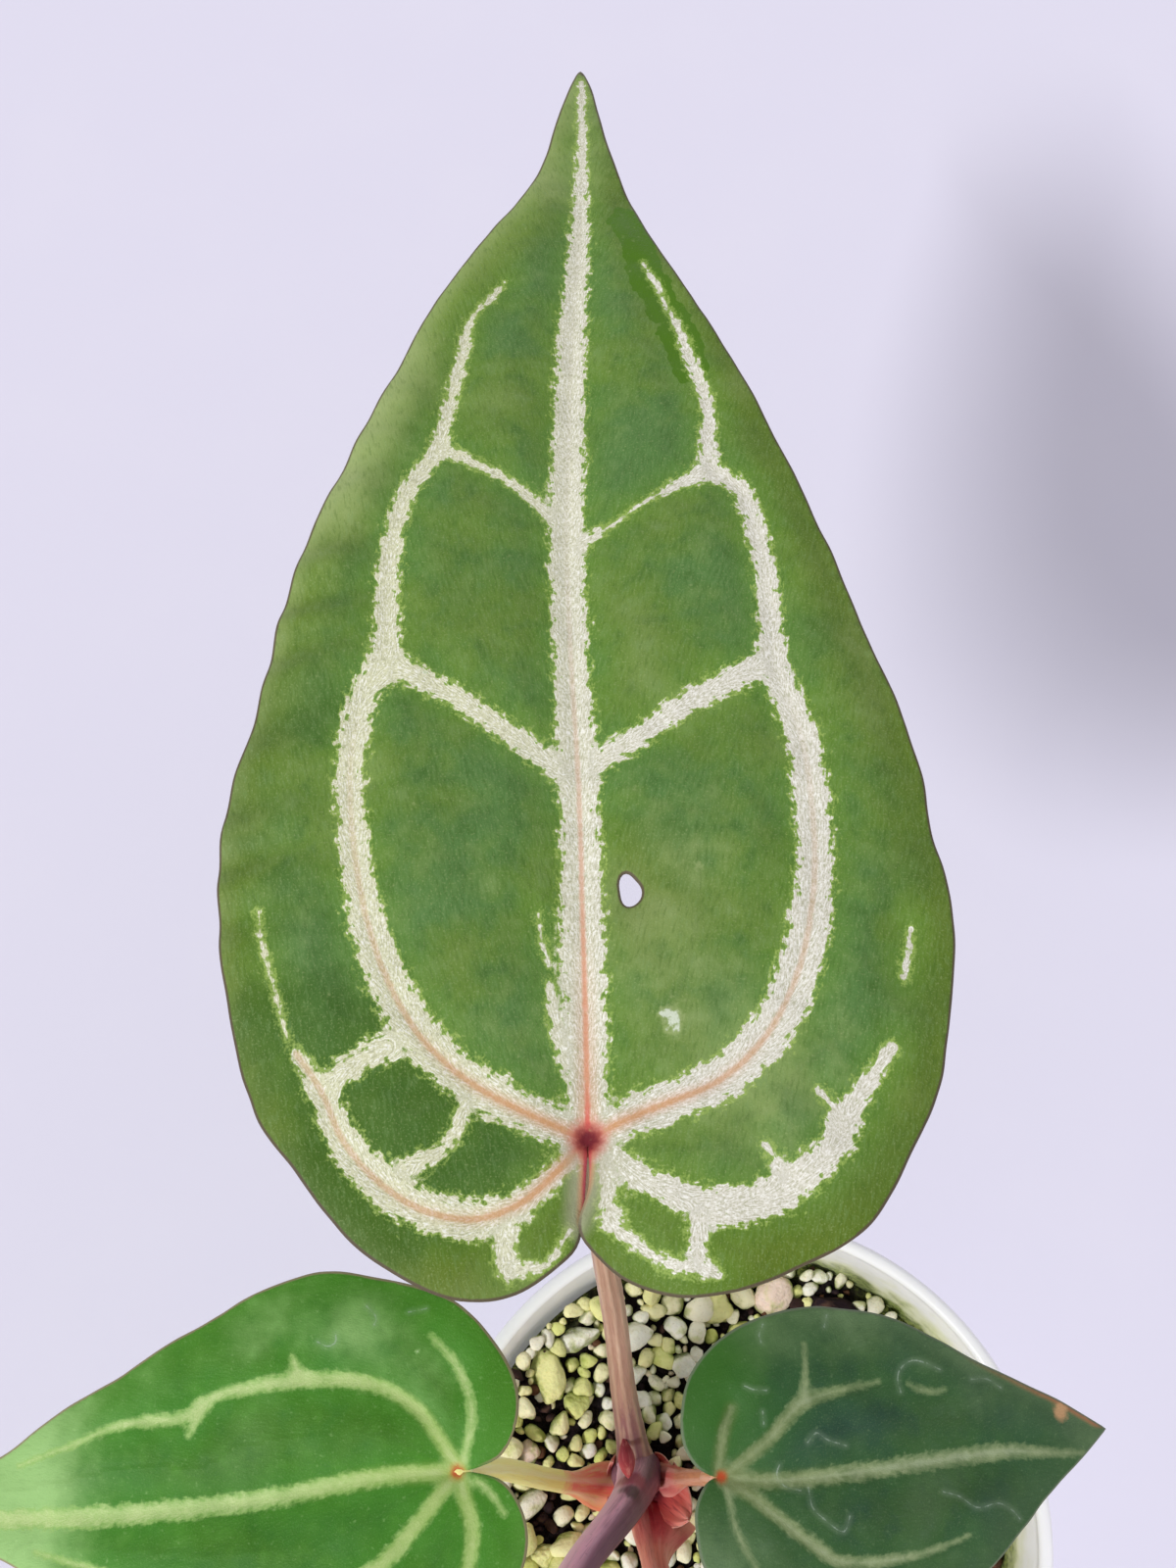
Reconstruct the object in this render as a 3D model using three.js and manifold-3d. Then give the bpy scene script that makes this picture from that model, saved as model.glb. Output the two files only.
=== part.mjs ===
// Velvet-leaved anthurium growing in a round white nursery pot. Millimetres, +Z up.
// The origin is the centre of the pot's flat underside, and the largest leaf points along +Y.
import * as THREE from 'three';
import { mergeVertices } from 'three/addons/utils/BufferGeometryUtils.js';
import Module from 'manifold-3d';

const wasm = await Module();
wasm.setup();

// Air left between two solids that touch on the real plant
const GAP = 0.3;

// Pot: a tapered cup with a rolled rim and drain holes around a solid middle
const POT_HEIGHT = 90;
const POT_RIM_R = 52.5;
const POT_RIM_DEPTH = 2.6;
const POT_RIM_ROUND = 0.7;
const POT_SHOULDER_R = 51.2;
const POT_FOOT_R = 40;
const POT_FOOT_BEVEL = 1;
const POT_WALL = 1.2;
const POT_FLOOR = 1.8;
const POT_SIDES = 56;
const DRAIN_COUNT = 8;
const DRAIN_R = 3;
const DRAIN_RING_R = 26;
const DRAIN_SIDES = 14;

// Substrate: it fills the pot to 18 mm below the rim
const SOIL_TOP = 72;
const SOIL_SIDES = 40;
const SOIL_WALL_GAP = 0.4;
// The top's unevenness: [share of the radius, height over SOIL_TOP], from the wall inwards
const SOIL_SWELL = [[1, 0], [0.87, -0.5], [0.55, 0], [0.25, 0.6], [0, 0.8]];

// Stem: short and stout, off the pot's middle
const STEM_X = -17;
const STEM_Y = 8.5;
const STEM_ROOT_DEPTH = 16;
const STEM_SIDES = 14;
const STEM_PROFILE = [
  [0, SOIL_TOP - STEM_ROOT_DEPTH],
  [3.2, SOIL_TOP - STEM_ROOT_DEPTH + 1.5],
  [4.6, SOIL_TOP - 4],
  [4.5, SOIL_TOP + 6],
  [4, SOIL_TOP + 9],
  [2.8, SOIL_TOP + 10.6],
  [0, SOIL_TOP + 11],
];

// Leaf blades: thickness, and how finely the outline and the spokes to it are divided
const BLADE_THICK = 0.9;
const BLADE_RINGS = [0.4, 0.72, 1];
// Rounding of the fold along the midrib, as a share of the half width
const CREASE = 0.03;

// Petioles: their section, how many steps they take, and the straight end under the blade.
// The blade falls a little behind its foot, so the end stays LOBE_FALL further below it.
const PETIOLE_SIDES = 9;
const PETIOLE_STEPS = 12;
const PETIOLE_END = 7;
const LOBE_FALL = 0.4;

const LEAF_GREEN = 0x4c7a35;

// Half outlines run from the notch behind the stalk, round the lobe, to the leaf's tip.
// Each point is [distance along the midrib, distance out from it].
const MAIN_LEFT = [
  [-13, 1.4], [-15.7, 3.7], [-19.4, 9.4], [-20.4, 16.4], [-18.2, 23], [-9.5, 34], [2.2, 43.2], [12.3, 47],
  [31.7, 50.7], [49.4, 49.7], [74.4, 44.8], [105.2, 35.6], [139, 22], [152, 15], [163.6, 9], [183, 4.4],
];
const MAIN_RIGHT = [
  [-13, -0.4], [-17.6, 4.2], [-19.9, 10.5], [-17.4, 25.3], [-9.4, 38], [-0.9, 43.2], [7.6, 47.1],
  [27.6, 50.4], [50.2, 47.5], [78.8, 39.3], [112.4, 27.6], [142.1, 15.4], [162.1, 7.6], [175.7, 4.3],
  [189.7, 2.8],
];
const SMALL_HALF = [
  [-3, 0.5], [-6.8, 2], [-9.5, 6.4], [-9.9, 11.3], [-7.3, 17.7], [-2.2, 23.7], [4.6, 27.7], [12, 29.8],
  [20, 30.6], [28, 29.2], [37, 25], [48, 19.8], [60, 13.6], [72, 8], [84, 4],
];
const RIGHT_UPPER = [
  [-3.8, 2.1], [-5.5, 6.2], [-4.8, 11.8], [-2.1, 16.6], [4, 21.2], [12.9, 23.3], [21, 23.1], [28.7, 21.1],
  [35.8, 17.4], [44.8, 11.8], [58, 4.9],
];
const RIGHT_LOWER = [
  [-2.5, 0.9], [-4.6, 3.9], [-5.1, 8.2], [-4.6, 12], [-2, 17], [4, 21.8], [13, 24.6], [23, 24.6],
  [32, 21.8], [40.8, 17.3], [51.2, 9], [58.2, 4.7],
];

// A blade is a sheet through its foot, where the stalk meets it, and its tip. arch lifts the middle of
// its length, gutter folds the two halves up from the midrib, droop lets the margins fall again,
// and bow sets the midrib off the straight line to the tip. stretch scales the half outlines.
const LEAVES = {
  main: {
    foot: [-25.7, 54.6, 178], heading: 90.4, pitch: -9.3, length: 197.5, halfWidth: 52,
    arch: 8, gutter: 7, droop: 8, bow: 2, left: MAIN_LEFT, right: MAIN_RIGHT, stretch: 1, spokes: 24,
    stalk: [[-19.1, 15.65, 76.6], [-19.8, 22.8, 103], [-21.5, 33.2, 127], [-23.3, 41.5, 146]],
    stalkRadii: [2.9, 2.1], colour: LEAF_GREEN, stalkColour: 0xa8766a,
  },
  left: {
    foot: [-45.6, 11.3, 128], heading: 184.5, pitch: -12.6, length: 100.6, halfWidth: 33,
    arch: 5, gutter: 5, droop: 7, bow: 0, left: SMALL_HALF, right: SMALL_HALF, stretch: 1, spokes: 18,
    stalk: [[-24, 6.95, 76.4], [-32.2, 8.9, 96], [-40, 11.2, 113]],
    stalkRadii: [2.7, 1.9], colour: 0x4f9a35, stalkColour: 0xb9b04a,
  },
  right: {
    foot: [-4.9, 10.3, 120], heading: 6, pitch: -14, length: 66.2, halfWidth: 26,
    arch: 4, gutter: 4, droop: 6, bow: 0, left: RIGHT_UPPER, right: RIGHT_LOWER, stretch: 1, spokes: 18,
    stalk: [[-9.85, 8.6, 76.4], [-8.5, 9.2, 95], [-6.4, 9.8, 109]],
    stalkRadii: [2.5, 1.6], colour: 0x3f6f45, stalkColour: 0xc96a55,
  },
  front_left: {
    foot: [-45, -32, 146], heading: 235, pitch: -14, length: 125, halfWidth: 41,
    arch: 6, gutter: 6, droop: 8, bow: 0, left: SMALL_HALF, right: SMALL_HALF, stretch: 1.243, spokes: 18,
    stalk: [[-17.2, 8.2, 83.9], [-20.4, 4.6, 99], [-27.4, -3.6, 113], [-36, -17, 130]],
    stalkRadii: [3.5, 2.5], colour: LEAF_GREEN, stalkColour: 0x8a5f78,
  },
  front_right: {
    foot: [-6, -30, 126], heading: 305, pitch: -16, length: 105, halfWidth: 34.5,
    arch: 5, gutter: 5, droop: 7, bow: 0, left: SMALL_HALF, right: SMALL_HALF, stretch: 1.044, spokes: 18,
    stalk: [[-15.85, 1.3, 76.4], [-15, -5, 95], [-11.6, -16, 110]],
    stalkRadii: [2.8, 2.2], colour: LEAF_GREEN, stalkColour: 0xc0605c,
  },
};

// Sheaths: dry scales that stood round each new leaf, set on the stem between the stalks.
// azimuth is about the stem, lean is how far the tip falls outwards.
const SHEATHS = {
  sheath_back: { azimuth: 149, foot: 4.45, height: 13, width: 4.4, lean: 2.6, colour: 0xa6304a },
  sheath_right: { azimuth: 320, foot: 4.45, height: 14, width: 4.2, lean: 4.5, colour: 0xd98a84 },
  sheath_left: { azimuth: 236, foot: 4.45, height: 10, width: 4.4, lean: 3.6, colour: 0xb5564e },
  sheath_inner: { azimuth: 52, foot: 4.45, height: 12, width: 4.2, lean: 2.8, colour: 0x7e4a5a },
};
const SHEATH_THICK = 0.8;
const SHEATH_SEAT = 1.6;
const SHEATH_TAPER = 0.8;
const SHEATH_BULGE = 0.16;
const SHEATH_SHARES = [0, 0.3, 0.6, 0.85, 1];
const SHEATH_COLUMNS = 5;

// Loose pieces bedded in the top of the substrate: [x, y, length, width, height, turn in degrees]
const PUMICE = [
  [-32.8, 26.1, 9, 5.6, 5, 84],
  [-28, 20.4, 6, 5, 4.4, 40],
  [-27.6, 32, 8.4, 5, 4.6, 12],
  [8.6, 39.4, 8.6, 6.4, 5.4, 30],
  [-1.6, 37.2, 6.8, 6.2, 5, 0],
  [1.8, 32.8, 6, 4.2, 4, 30],
  [-8.2, 27.5, 5.4, 5.4, 4.6, 60],
  [-36.4, 12.8, 5.6, 4.6, 4.2, 70],
  [-33.4, -4.4, 6.6, 5, 4.6, 20],
  [-24.4, -22.6, 7, 5.4, 4.8, 50],
  [38.6, 14.8, 7, 5.6, 4.8, 75],
  [31.4, -6.2, 6.2, 5, 4.4, 15],
  [20.6, 20.2, 7.4, 5.8, 5, 120],
  [-3.6, -39.6, 7, 5.4, 4.8, 10],
  [36.2, -22.8, 6.4, 5.2, 4.6, 140],
];
const PUMICE_COLOURS = [0xd8cf7c, 0xc3cc8a, 0xe9e2d2, 0xe6cfc6];
const BARK = [
  [19, 36.4, 13, 7, 3.6, 152],
  [12.6, 28.4, 9, 5, 3, 70],
  [-2.6, 20.6, 10, 5.4, 3.2, 130],
  [-25.6, -8.6, 9.6, 5, 3, 45],
  [10.8, -43.4, 9, 5, 3, 165],
];
const BARK_COLOURS = [0x3b2228, 0x5a3a26];
// Share of its height that a piece sits in the substrate, and how far its corners are knocked in
const BEDDED_SHARE = 0.3;
const PUMICE_EDGE = 0.16;
const BARK_EDGE = 0.3;

const group = new THREE.Group();

// A repeatable sequence of numbers from 0 to 1, for the lumps' uneven faces
function sequence(seed) {
  let state = seed;
  return () => {
    state = (state * 16807) % 2147483647;
    return state / 2147483647;
  };
}

function addMesh(name, geometry, colour, roughness) {
  const material = new THREE.MeshStandardMaterial({ color: colour, roughness, metalness: 0 });
  const mesh = new THREE.Mesh(geometry, material);
  mesh.name = name;
  group.add(mesh);
}

// The same faces with every shared corner held once
function welded(geometry) {
  const bare = geometry.clone();
  bare.deleteAttribute('normal');
  bare.deleteAttribute('uv');
  return mergeVertices(bare, 1e-4);
}

function toSolid(geometry) {
  const merged = welded(geometry);
  return new wasm.Manifold(new wasm.Mesh({
    numProp: 3,
    vertProperties: new Float32Array(merged.attributes.position.array),
    triVerts: new Uint32Array(merged.index.array),
  }));
}

function toGeometry(solid) {
  const mesh = solid.getMesh();
  const geometry = new THREE.BufferGeometry();
  geometry.setAttribute('position', new THREE.BufferAttribute(new Float32Array(mesh.vertProperties), 3));
  geometry.setIndex(new THREE.BufferAttribute(new Uint32Array(mesh.triVerts), 1));
  geometry.computeVertexNormals();
  return geometry;
}

function meshFrom(points, faces) {
  const geometry = new THREE.BufferGeometry();
  geometry.setAttribute('position', new THREE.Float32BufferAttribute(points.flatMap((p) => p.toArray()), 3));
  geometry.setIndex(faces.flat());
  geometry.computeVertexNormals();
  return geometry;
}

// Turned shape about the Z axis from [radius, height] pairs, lowest first along the outside
function turned(profile, sides) {
  const geometry = new THREE.LatheGeometry(profile.map(([r, z]) => new THREE.Vector2(r, z)), sides);
  return geometry.rotateX(Math.PI / 2);
}

// Skin over rings of equal point counts, closed by a flat fan at each end
function skin(rings) {
  const count = rings[0].length;
  const points = rings.flat();
  const faces = [];
  for (let i = 0; i < rings.length - 1; i += 1) {
    for (let j = 0; j < count; j += 1) {
      const k = (j + 1) % count;
      const a = i * count;
      const b = a + count;
      faces.push([a + j, a + k, b + k], [a + j, b + k, b + j]);
    }
  }
  const last = (rings.length - 1) * count;
  for (let j = 1; j < count - 1; j += 1) {
    faces.push([0, j + 1, j], [last, last + j, last + j + 1]);
  }
  return meshFrom(points, faces);
}

// Pot

function potInnerRadius(z) {
  const share = (z - POT_FLOOR) / (POT_HEIGHT - POT_RIM_DEPTH - POT_FLOOR);
  return POT_FOOT_R - POT_WALL + share * (POT_SHOULDER_R - POT_FOOT_R);
}

function makePot() {
  const under = POT_HEIGHT - POT_RIM_DEPTH;
  const inner = POT_SHOULDER_R - POT_WALL;
  const profile = [
    [0, 0],
    [POT_FOOT_R - POT_FOOT_BEVEL, 0],
    [POT_FOOT_R, POT_FOOT_BEVEL],
    [POT_SHOULDER_R, under],
    [POT_RIM_R, under + POT_RIM_ROUND],
    [POT_RIM_R, POT_HEIGHT - POT_RIM_ROUND],
    [POT_RIM_R - POT_RIM_ROUND, POT_HEIGHT],
    [inner + POT_RIM_ROUND, POT_HEIGHT],
    [inner, POT_HEIGHT - POT_RIM_ROUND],
    [inner, under],
    [POT_FOOT_R - POT_WALL, POT_FLOOR],
    [0, POT_FLOOR],
  ];
  let solid = toSolid(turned(profile, POT_SIDES));
  for (let i = 0; i < DRAIN_COUNT; i += 1) {
    const angle = (i / DRAIN_COUNT) * Math.PI * 2;
    const hole = new THREE.CylinderGeometry(DRAIN_R, DRAIN_R, POT_FLOOR * 4, DRAIN_SIDES);
    hole.rotateX(Math.PI / 2);
    hole.translate(Math.cos(angle) * DRAIN_RING_R, Math.sin(angle) * DRAIN_RING_R, 0);
    solid = solid.subtract(toSolid(hole));
  }
  addMesh('pot', toGeometry(solid), 0xeeeef2, 0.4);
}

// Stem and substrate

function stemGeometry(grow) {
  const profile = STEM_PROFILE.map(([r, z], i) => {
    const end = i === 0 ? -grow : grow;
    return r === 0 ? [0, z + end] : [r + grow, z];
  });
  return turned(profile, STEM_SIDES).translate(STEM_X, STEM_Y, 0);
}

// An uneven lump: a sphere of few faces with each corner moved a little in or out
function lump([x, y, length, width, height, turn], seed, edge, grow) {
  const geometry = welded(new THREE.IcosahedronGeometry(1, 1));
  const random = sequence(seed);
  const place = geometry.attributes.position;
  for (let i = 0; i < place.count; i += 1) {
    const point = new THREE.Vector3().fromBufferAttribute(place, i);
    point.multiplyScalar(1 - edge * random());
    point.multiply(new THREE.Vector3(length / 2 + grow, width / 2 + grow, height / 2 + grow));
    place.setXYZ(i, point.x, point.y, point.z);
  }
  geometry.rotateZ(THREE.MathUtils.degToRad(turn));
  geometry.translate(x, y, SOIL_TOP + height * (0.5 - BEDDED_SHARE));
  return geometry;
}

function makeSubstrate() {
  const floor = POT_FLOOR + GAP;
  const topRadius = potInnerRadius(SOIL_TOP) - SOIL_WALL_GAP;
  const profile = [
    [0, floor],
    [potInnerRadius(floor) - SOIL_WALL_GAP, floor],
    ...SOIL_SWELL.map(([share, rise]) => [share * topRadius, SOIL_TOP + rise]),
  ];
  let solid = toSolid(turned(profile, SOIL_SIDES)).subtract(toSolid(stemGeometry(GAP)));
  const bedded = [
    ...PUMICE.map((spec, i) => ['pumice', spec, i, PUMICE_EDGE, PUMICE_COLOURS]),
    ...BARK.map((spec, i) => ['bark', spec, i, BARK_EDGE, BARK_COLOURS]),
  ];
  for (const [kind, spec, i, edge, colours] of bedded) {
    const seed = i * 97 + 11;
    addMesh(`${kind}_${i + 1}`, lump(spec, seed, edge, 0), colours[i % colours.length], 0.9);
    solid = solid.subtract(toSolid(lump(spec, seed, edge, GAP * (1 + edge))));
  }
  addMesh('substrate', toGeometry(solid), 0x2b231e, 0.95);
  addMesh('stem', stemGeometry(0), 0x6e4a44, 0.6);
}

// Leaves

function bladeFrame(leaf) {
  const heading = THREE.MathUtils.degToRad(leaf.heading);
  const pitch = THREE.MathUtils.degToRad(leaf.pitch);
  const along = new THREE.Vector3(
    Math.cos(pitch) * Math.cos(heading),
    Math.cos(pitch) * Math.sin(heading),
    Math.sin(pitch),
  );
  const across = new THREE.Vector3(-Math.sin(heading), Math.cos(heading), 0);
  const normal = new THREE.Vector3().crossVectors(along, across);
  return { foot: new THREE.Vector3(...leaf.foot), along, across, normal };
}

function bladeHeight(leaf, u, v) {
  const t = u / leaf.length;
  const hump = 4 * t * (1 - t);
  const q = Math.hypot((v - leaf.bow * hump) / leaf.halfWidth, CREASE) - CREASE;
  return leaf.arch * hump + leaf.gutter * q - leaf.droop * q * q;
}

function bladePoint(leaf, frame, u, v, offset) {
  return frame.foot.clone()
    .addScaledVector(frame.along, u)
    .addScaledVector(frame.across, v)
    .addScaledVector(frame.normal, bladeHeight(leaf, u, v) + offset);
}

// Rim of the blade, from the notch over the left lobe to the tip and back over the right lobe
function bladeRim(leaf) {
  const half = (points, side) => {
    const curve = new THREE.CatmullRomCurve3([
      ...points.map(([u, v]) => new THREE.Vector3(u * leaf.stretch, v * leaf.stretch * side, 0)),
      new THREE.Vector3(leaf.length, 0, 0),
    ], false, 'centripetal');
    return curve.getSpacedPoints(leaf.spokes);
  };
  return [...half(leaf.left, 1), ...half(leaf.right, -1).reverse().slice(1)];
}

// The blade fans out from its foot. Each spoke has a point on every ring, on both faces.
function bladeGeometry(leaf) {
  const frame = bladeFrame(leaf);
  const rim = bladeRim(leaf);
  const rings = BLADE_RINGS.length;
  const points = [];
  for (const offset of [BLADE_THICK / 2, -BLADE_THICK / 2]) {
    points.push(bladePoint(leaf, frame, 0, 0, offset));
    for (const end of rim) {
      for (const share of BLADE_RINGS) {
        points.push(bladePoint(leaf, frame, end.x * share, end.y * share, offset));
      }
    }
  }
  const under = points.length / 2;
  const at = (spoke, ring) => (ring < 0 ? 0 : 1 + spoke * rings + ring);
  const faces = [];
  const face = (a, b, c) => {
    faces.push([a, c, b], [under + a, under + b, under + c]);
  };
  const wall = (a, b) => {
    faces.push([a, b, under + b], [a, under + b, under + a]);
  };
  for (let s = 0; s < rim.length - 1; s += 1) {
    face(0, at(s, 0), at(s + 1, 0));
    for (let r = 0; r < rings - 1; r += 1) {
      face(at(s, r), at(s, r + 1), at(s + 1, r + 1));
      face(at(s, r), at(s + 1, r + 1), at(s + 1, r));
    }
    wall(at(s, rings - 1), at(s + 1, rings - 1));
  }
  for (let r = 0; r < rings; r += 1) {
    wall(at(0, r - 1), at(0, r));
    wall(at(rim.length - 1, r), at(rim.length - 1, r - 1));
  }
  return meshFrom(points, faces);
}

// A stalk runs from the stem to the underside of its blade, which it meets square on
function stalkGeometry(leaf) {
  const { foot, normal } = bladeFrame(leaf);
  const depths = [PETIOLE_END, BLADE_THICK / 2 + GAP + LOBE_FALL];
  const ends = depths.map((depth) => foot.clone().addScaledVector(normal, -depth));
  const curve = new THREE.CatmullRomCurve3(
    [...leaf.stalk.map((p) => new THREE.Vector3(...p)), ...ends],
    false,
    'centripetal',
  );
  const frames = curve.computeFrenetFrames(PETIOLE_STEPS, false);
  const [thick, thin] = leaf.stalkRadii;
  const rings = [];
  for (let i = 0; i <= PETIOLE_STEPS; i += 1) {
    const t = i / PETIOLE_STEPS;
    const radius = thin + (thick - thin) * (1 - t) ** 3;
    const facing = i === PETIOLE_STEPS ? normal : frames.tangents[i];
    rings.push(ringAround(curve.getPointAt(t), facing, frames.normals[i], radius));
  }
  return skin(rings);
}

// Points of a round section square to facing, the first of them towards start
function ringAround(middle, facing, start, radius) {
  const side = start.clone().projectOnPlane(facing).normalize();
  const other = new THREE.Vector3().crossVectors(facing, side);
  return Array.from({ length: PETIOLE_SIDES }, (_, j) => {
    const angle = (j / PETIOLE_SIDES) * Math.PI * 2;
    return middle.clone()
      .addScaledVector(side, Math.cos(angle) * radius)
      .addScaledVector(other, Math.sin(angle) * radius);
  });
}

function makeLeaves() {
  for (const [name, leaf] of Object.entries(LEAVES)) {
    addMesh(`leaf_${name}`, bladeGeometry(leaf), leaf.colour, 0.7);
    addMesh(`petiole_${name}`, stalkGeometry(leaf), leaf.stalkColour, 0.55);
  }
}

// Sheaths: each ring is a thin crescent, narrower and further out towards the tip
function sheathGeometry({ azimuth, foot, height, width, lean }) {
  const turn = THREE.MathUtils.degToRad(azimuth);
  const rings = SHEATH_SHARES.map((share) => {
    const spread = (width / 2) * (1 - SHEATH_TAPER * share ** 2);
    const out = foot + GAP + lean * share ** 2;
    const z = SOIL_TOP + SHEATH_SEAT + height * share;
    const across = (thick, j) => {
      const y = spread * ((2 * j) / (SHEATH_COLUMNS - 1) - 1);
      const bulge = SHEATH_BULGE * (spread ** 2 - y ** 2) / (width / 2);
      return new THREE.Vector3(out + thick + bulge, y, z);
    };
    const outer = Array.from({ length: SHEATH_COLUMNS }, (_, j) => across(SHEATH_THICK, j));
    const inner = Array.from({ length: SHEATH_COLUMNS }, (_, j) => across(0, SHEATH_COLUMNS - 1 - j));
    return [...inner, ...outer];
  });
  return skin(rings).rotateZ(turn).translate(STEM_X, STEM_Y, 0);
}

function makeSheaths() {
  for (const [name, sheath] of Object.entries(SHEATHS)) {
    addMesh(name, sheathGeometry(sheath), sheath.colour, 0.6);
  }
}

makePot();
makeSubstrate();
makeLeaves();
makeSheaths();

export default group;
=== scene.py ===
"""Velvet-leaved anthurium in a round white nursery pot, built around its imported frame.

Sizes are in millimetres and turn to metres where a mesh is made. X points right, +Y the way the largest leaf
points, and Z up, from the middle of the pot's underside.
"""

import random
from functools import partial
from math import cos, pi, radians, sin

import bmesh
import bpy
import numpy as np
from bpy.props import FloatProperty, FloatVectorProperty, PointerProperty
from mathutils import Matrix, Vector
from mathutils.geometry import delaunay_2d_cdt
from mathutils.noise import fractal


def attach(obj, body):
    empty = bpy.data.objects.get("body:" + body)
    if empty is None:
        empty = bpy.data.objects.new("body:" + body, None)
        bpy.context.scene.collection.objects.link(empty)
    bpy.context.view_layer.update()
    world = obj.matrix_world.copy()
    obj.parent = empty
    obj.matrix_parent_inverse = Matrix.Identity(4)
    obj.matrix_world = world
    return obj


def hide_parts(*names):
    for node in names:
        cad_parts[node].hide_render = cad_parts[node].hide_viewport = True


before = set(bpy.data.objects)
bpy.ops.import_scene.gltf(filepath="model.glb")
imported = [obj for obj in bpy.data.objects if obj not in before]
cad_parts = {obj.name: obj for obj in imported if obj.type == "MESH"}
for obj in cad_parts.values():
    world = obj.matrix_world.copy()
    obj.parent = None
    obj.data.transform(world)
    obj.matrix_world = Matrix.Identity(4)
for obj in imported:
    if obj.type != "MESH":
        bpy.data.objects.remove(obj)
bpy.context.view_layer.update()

bl_info = {
    "name": "Velvet-leaved Anthurium",
    "version": (1, 0, 0),
    "blender": (4, 5, 0),
    "location": "3D View > Sidebar > Anthurium",
    "description": "A potted house plant with silver-veined velvet leaves",
    "category": "Add Mesh",
}

MM = 0.001
BODY = "root"


def linear(code):
    """Linear colour, with full alpha, of an sRGB hex code such as #4c7a35."""
    channels = [int(code[i:i + 2], 16) / 255 for i in (1, 3, 5)]
    return tuple(c / 12.92 if c <= 0.04045 else ((c + 0.055) / 1.055) ** 2.4 for c in channels) + (1.0,)


# Curves, noise and meshes


def smooth(points, step):
    """Points about a step apart on a smooth curve through the given ones."""
    given = np.asarray(points, float)
    chords = np.linalg.norm(np.diff(given, axis=0), axis=1)
    knots = np.concatenate([[0], np.cumsum(np.sqrt(chords))])
    slopes = np.gradient(given, knots, axis=0)
    rows = []
    for i, chord in enumerate(chords):
        count = max(1, round(chord / step))
        t = (np.arange(count) / count)[:, None]
        span = knots[i + 1] - knots[i]
        rows.append(
            (2 * t**3 - 3 * t**2 + 1) * given[i]
            + (t**3 - 2 * t**2 + t) * span * slopes[i]
            + (3 * t**2 - 2 * t**3) * given[i + 1]
            + (t**3 - t**2) * span * slopes[i + 1]
        )
    return np.vstack(rows + [given[-1:]])


def flat3(points):
    """Points in a plane with a third coordinate of 0."""
    return np.column_stack([points[:, :2], np.zeros(len(points))])


def rough(points, size, seed, octaves=3):
    """Smooth noise from about -1 to 1 at each point, with a grain of the given size."""
    shift = Vector((seed * 17.3, seed * 5.1, seed * 9.7))
    return np.array([fractal(Vector(p) / size + shift, 1.0, 2.0, octaves) for p in points])


def ease(value, low, high):
    """A smooth step from 0 at low to 1 at high."""
    t = np.clip((np.asarray(value, float) - low) / (high - low), 0, 1)
    return t * t * (3 - 2 * t)


def nearest(points, line):
    """Distance from each point to a closely sampled line, and the index of the nearest sample."""
    gaps = np.hypot(points[:, None, 0] - line[None, :, 0], points[:, None, 1] - line[None, :, 1])
    index = gaps.argmin(1)
    return gaps[np.arange(len(points)), index], index


def make_piece(name, points, faces, materials, values=None, picks=None, nodes=()):
    """One smooth mesh piece of the plant. values are its attributes, and picks its faces' materials."""
    mesh = bpy.data.meshes.new(name)
    mesh.from_pydata((np.asarray(points) * MM).tolist(), [], faces)
    mesh.shade_smooth()
    for material in materials:
        mesh.materials.append(material)
    if picks is not None:
        mesh.polygons.foreach_set("material_index", np.asarray(picks, np.int32))
    for key, data in (values or {}).items():
        data = np.asarray(data, np.float32)
        kind = "FLOAT_VECTOR" if data.ndim == 2 else "FLOAT"
        field = "vector" if data.ndim == 2 else "value"
        mesh.attributes.new(key, kind, "POINT").data.foreach_set(field, data.ravel())
    mesh.update()
    piece = bpy.data.objects.new(name, mesh)
    bpy.context.scene.collection.objects.link(piece)
    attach(piece, BODY)
    if nodes:
        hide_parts(*nodes)
    return piece


def ring(angles, wide, deep, z, middle=(0, 0)):
    """Points of a level ellipse at a height."""
    x, y = middle[0] + wide * np.cos(angles), middle[1] + deep * np.sin(angles)
    return np.column_stack([x, y, np.full(len(angles), z)])


def bands(start, rings, sides):
    """Faces between neighbouring rings of points, which follow each other from the given index."""
    return [
        (a + j, a + (j + 1) % sides, a + sides + (j + 1) % sides, a + sides + j)
        for a in range(start, start + (rings - 1) * sides, sides) for j in range(sides)
    ]


def skin(rings):
    """Faces over rings of equal point counts, with a flat end on the first and the last."""
    count = len(rings[0])
    last = (len(rings) - 1) * count
    ends = [tuple(range(count - 1, -1, -1)), tuple(range(last, last + count))]
    return bands(0, len(rings), count) + ends


def turned(profile, sides):
    """Points and faces of a body turned about Z from [radius, height] pairs, which start and end on the axis."""
    angles = np.arange(sides) / sides * 2 * pi
    rings = [ring(angles, r, r, z) for r, z in profile[1:-1]]
    points = [np.array([[0, 0, profile[0][1]], [0, 0, profile[-1][1]]])] + rings
    last = 2 + (len(rings) - 1) * sides
    faces = bands(2, len(rings), sides)
    faces += [(0, 2 + (j + 1) % sides, 2 + j) for j in range(sides)]
    faces += [(1, last + j, last + (j + 1) % sides) for j in range(sides)]
    return np.vstack(points), faces


def arc(x, z, radius, start, end, count):
    """Points of an arc in a turned body's profile, with its angles in degrees."""
    return [
        [x + radius * cos(radians(a)), z + radius * sin(radians(a))]
        for a in np.linspace(start, end, count)
    ]


# Materials


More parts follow.
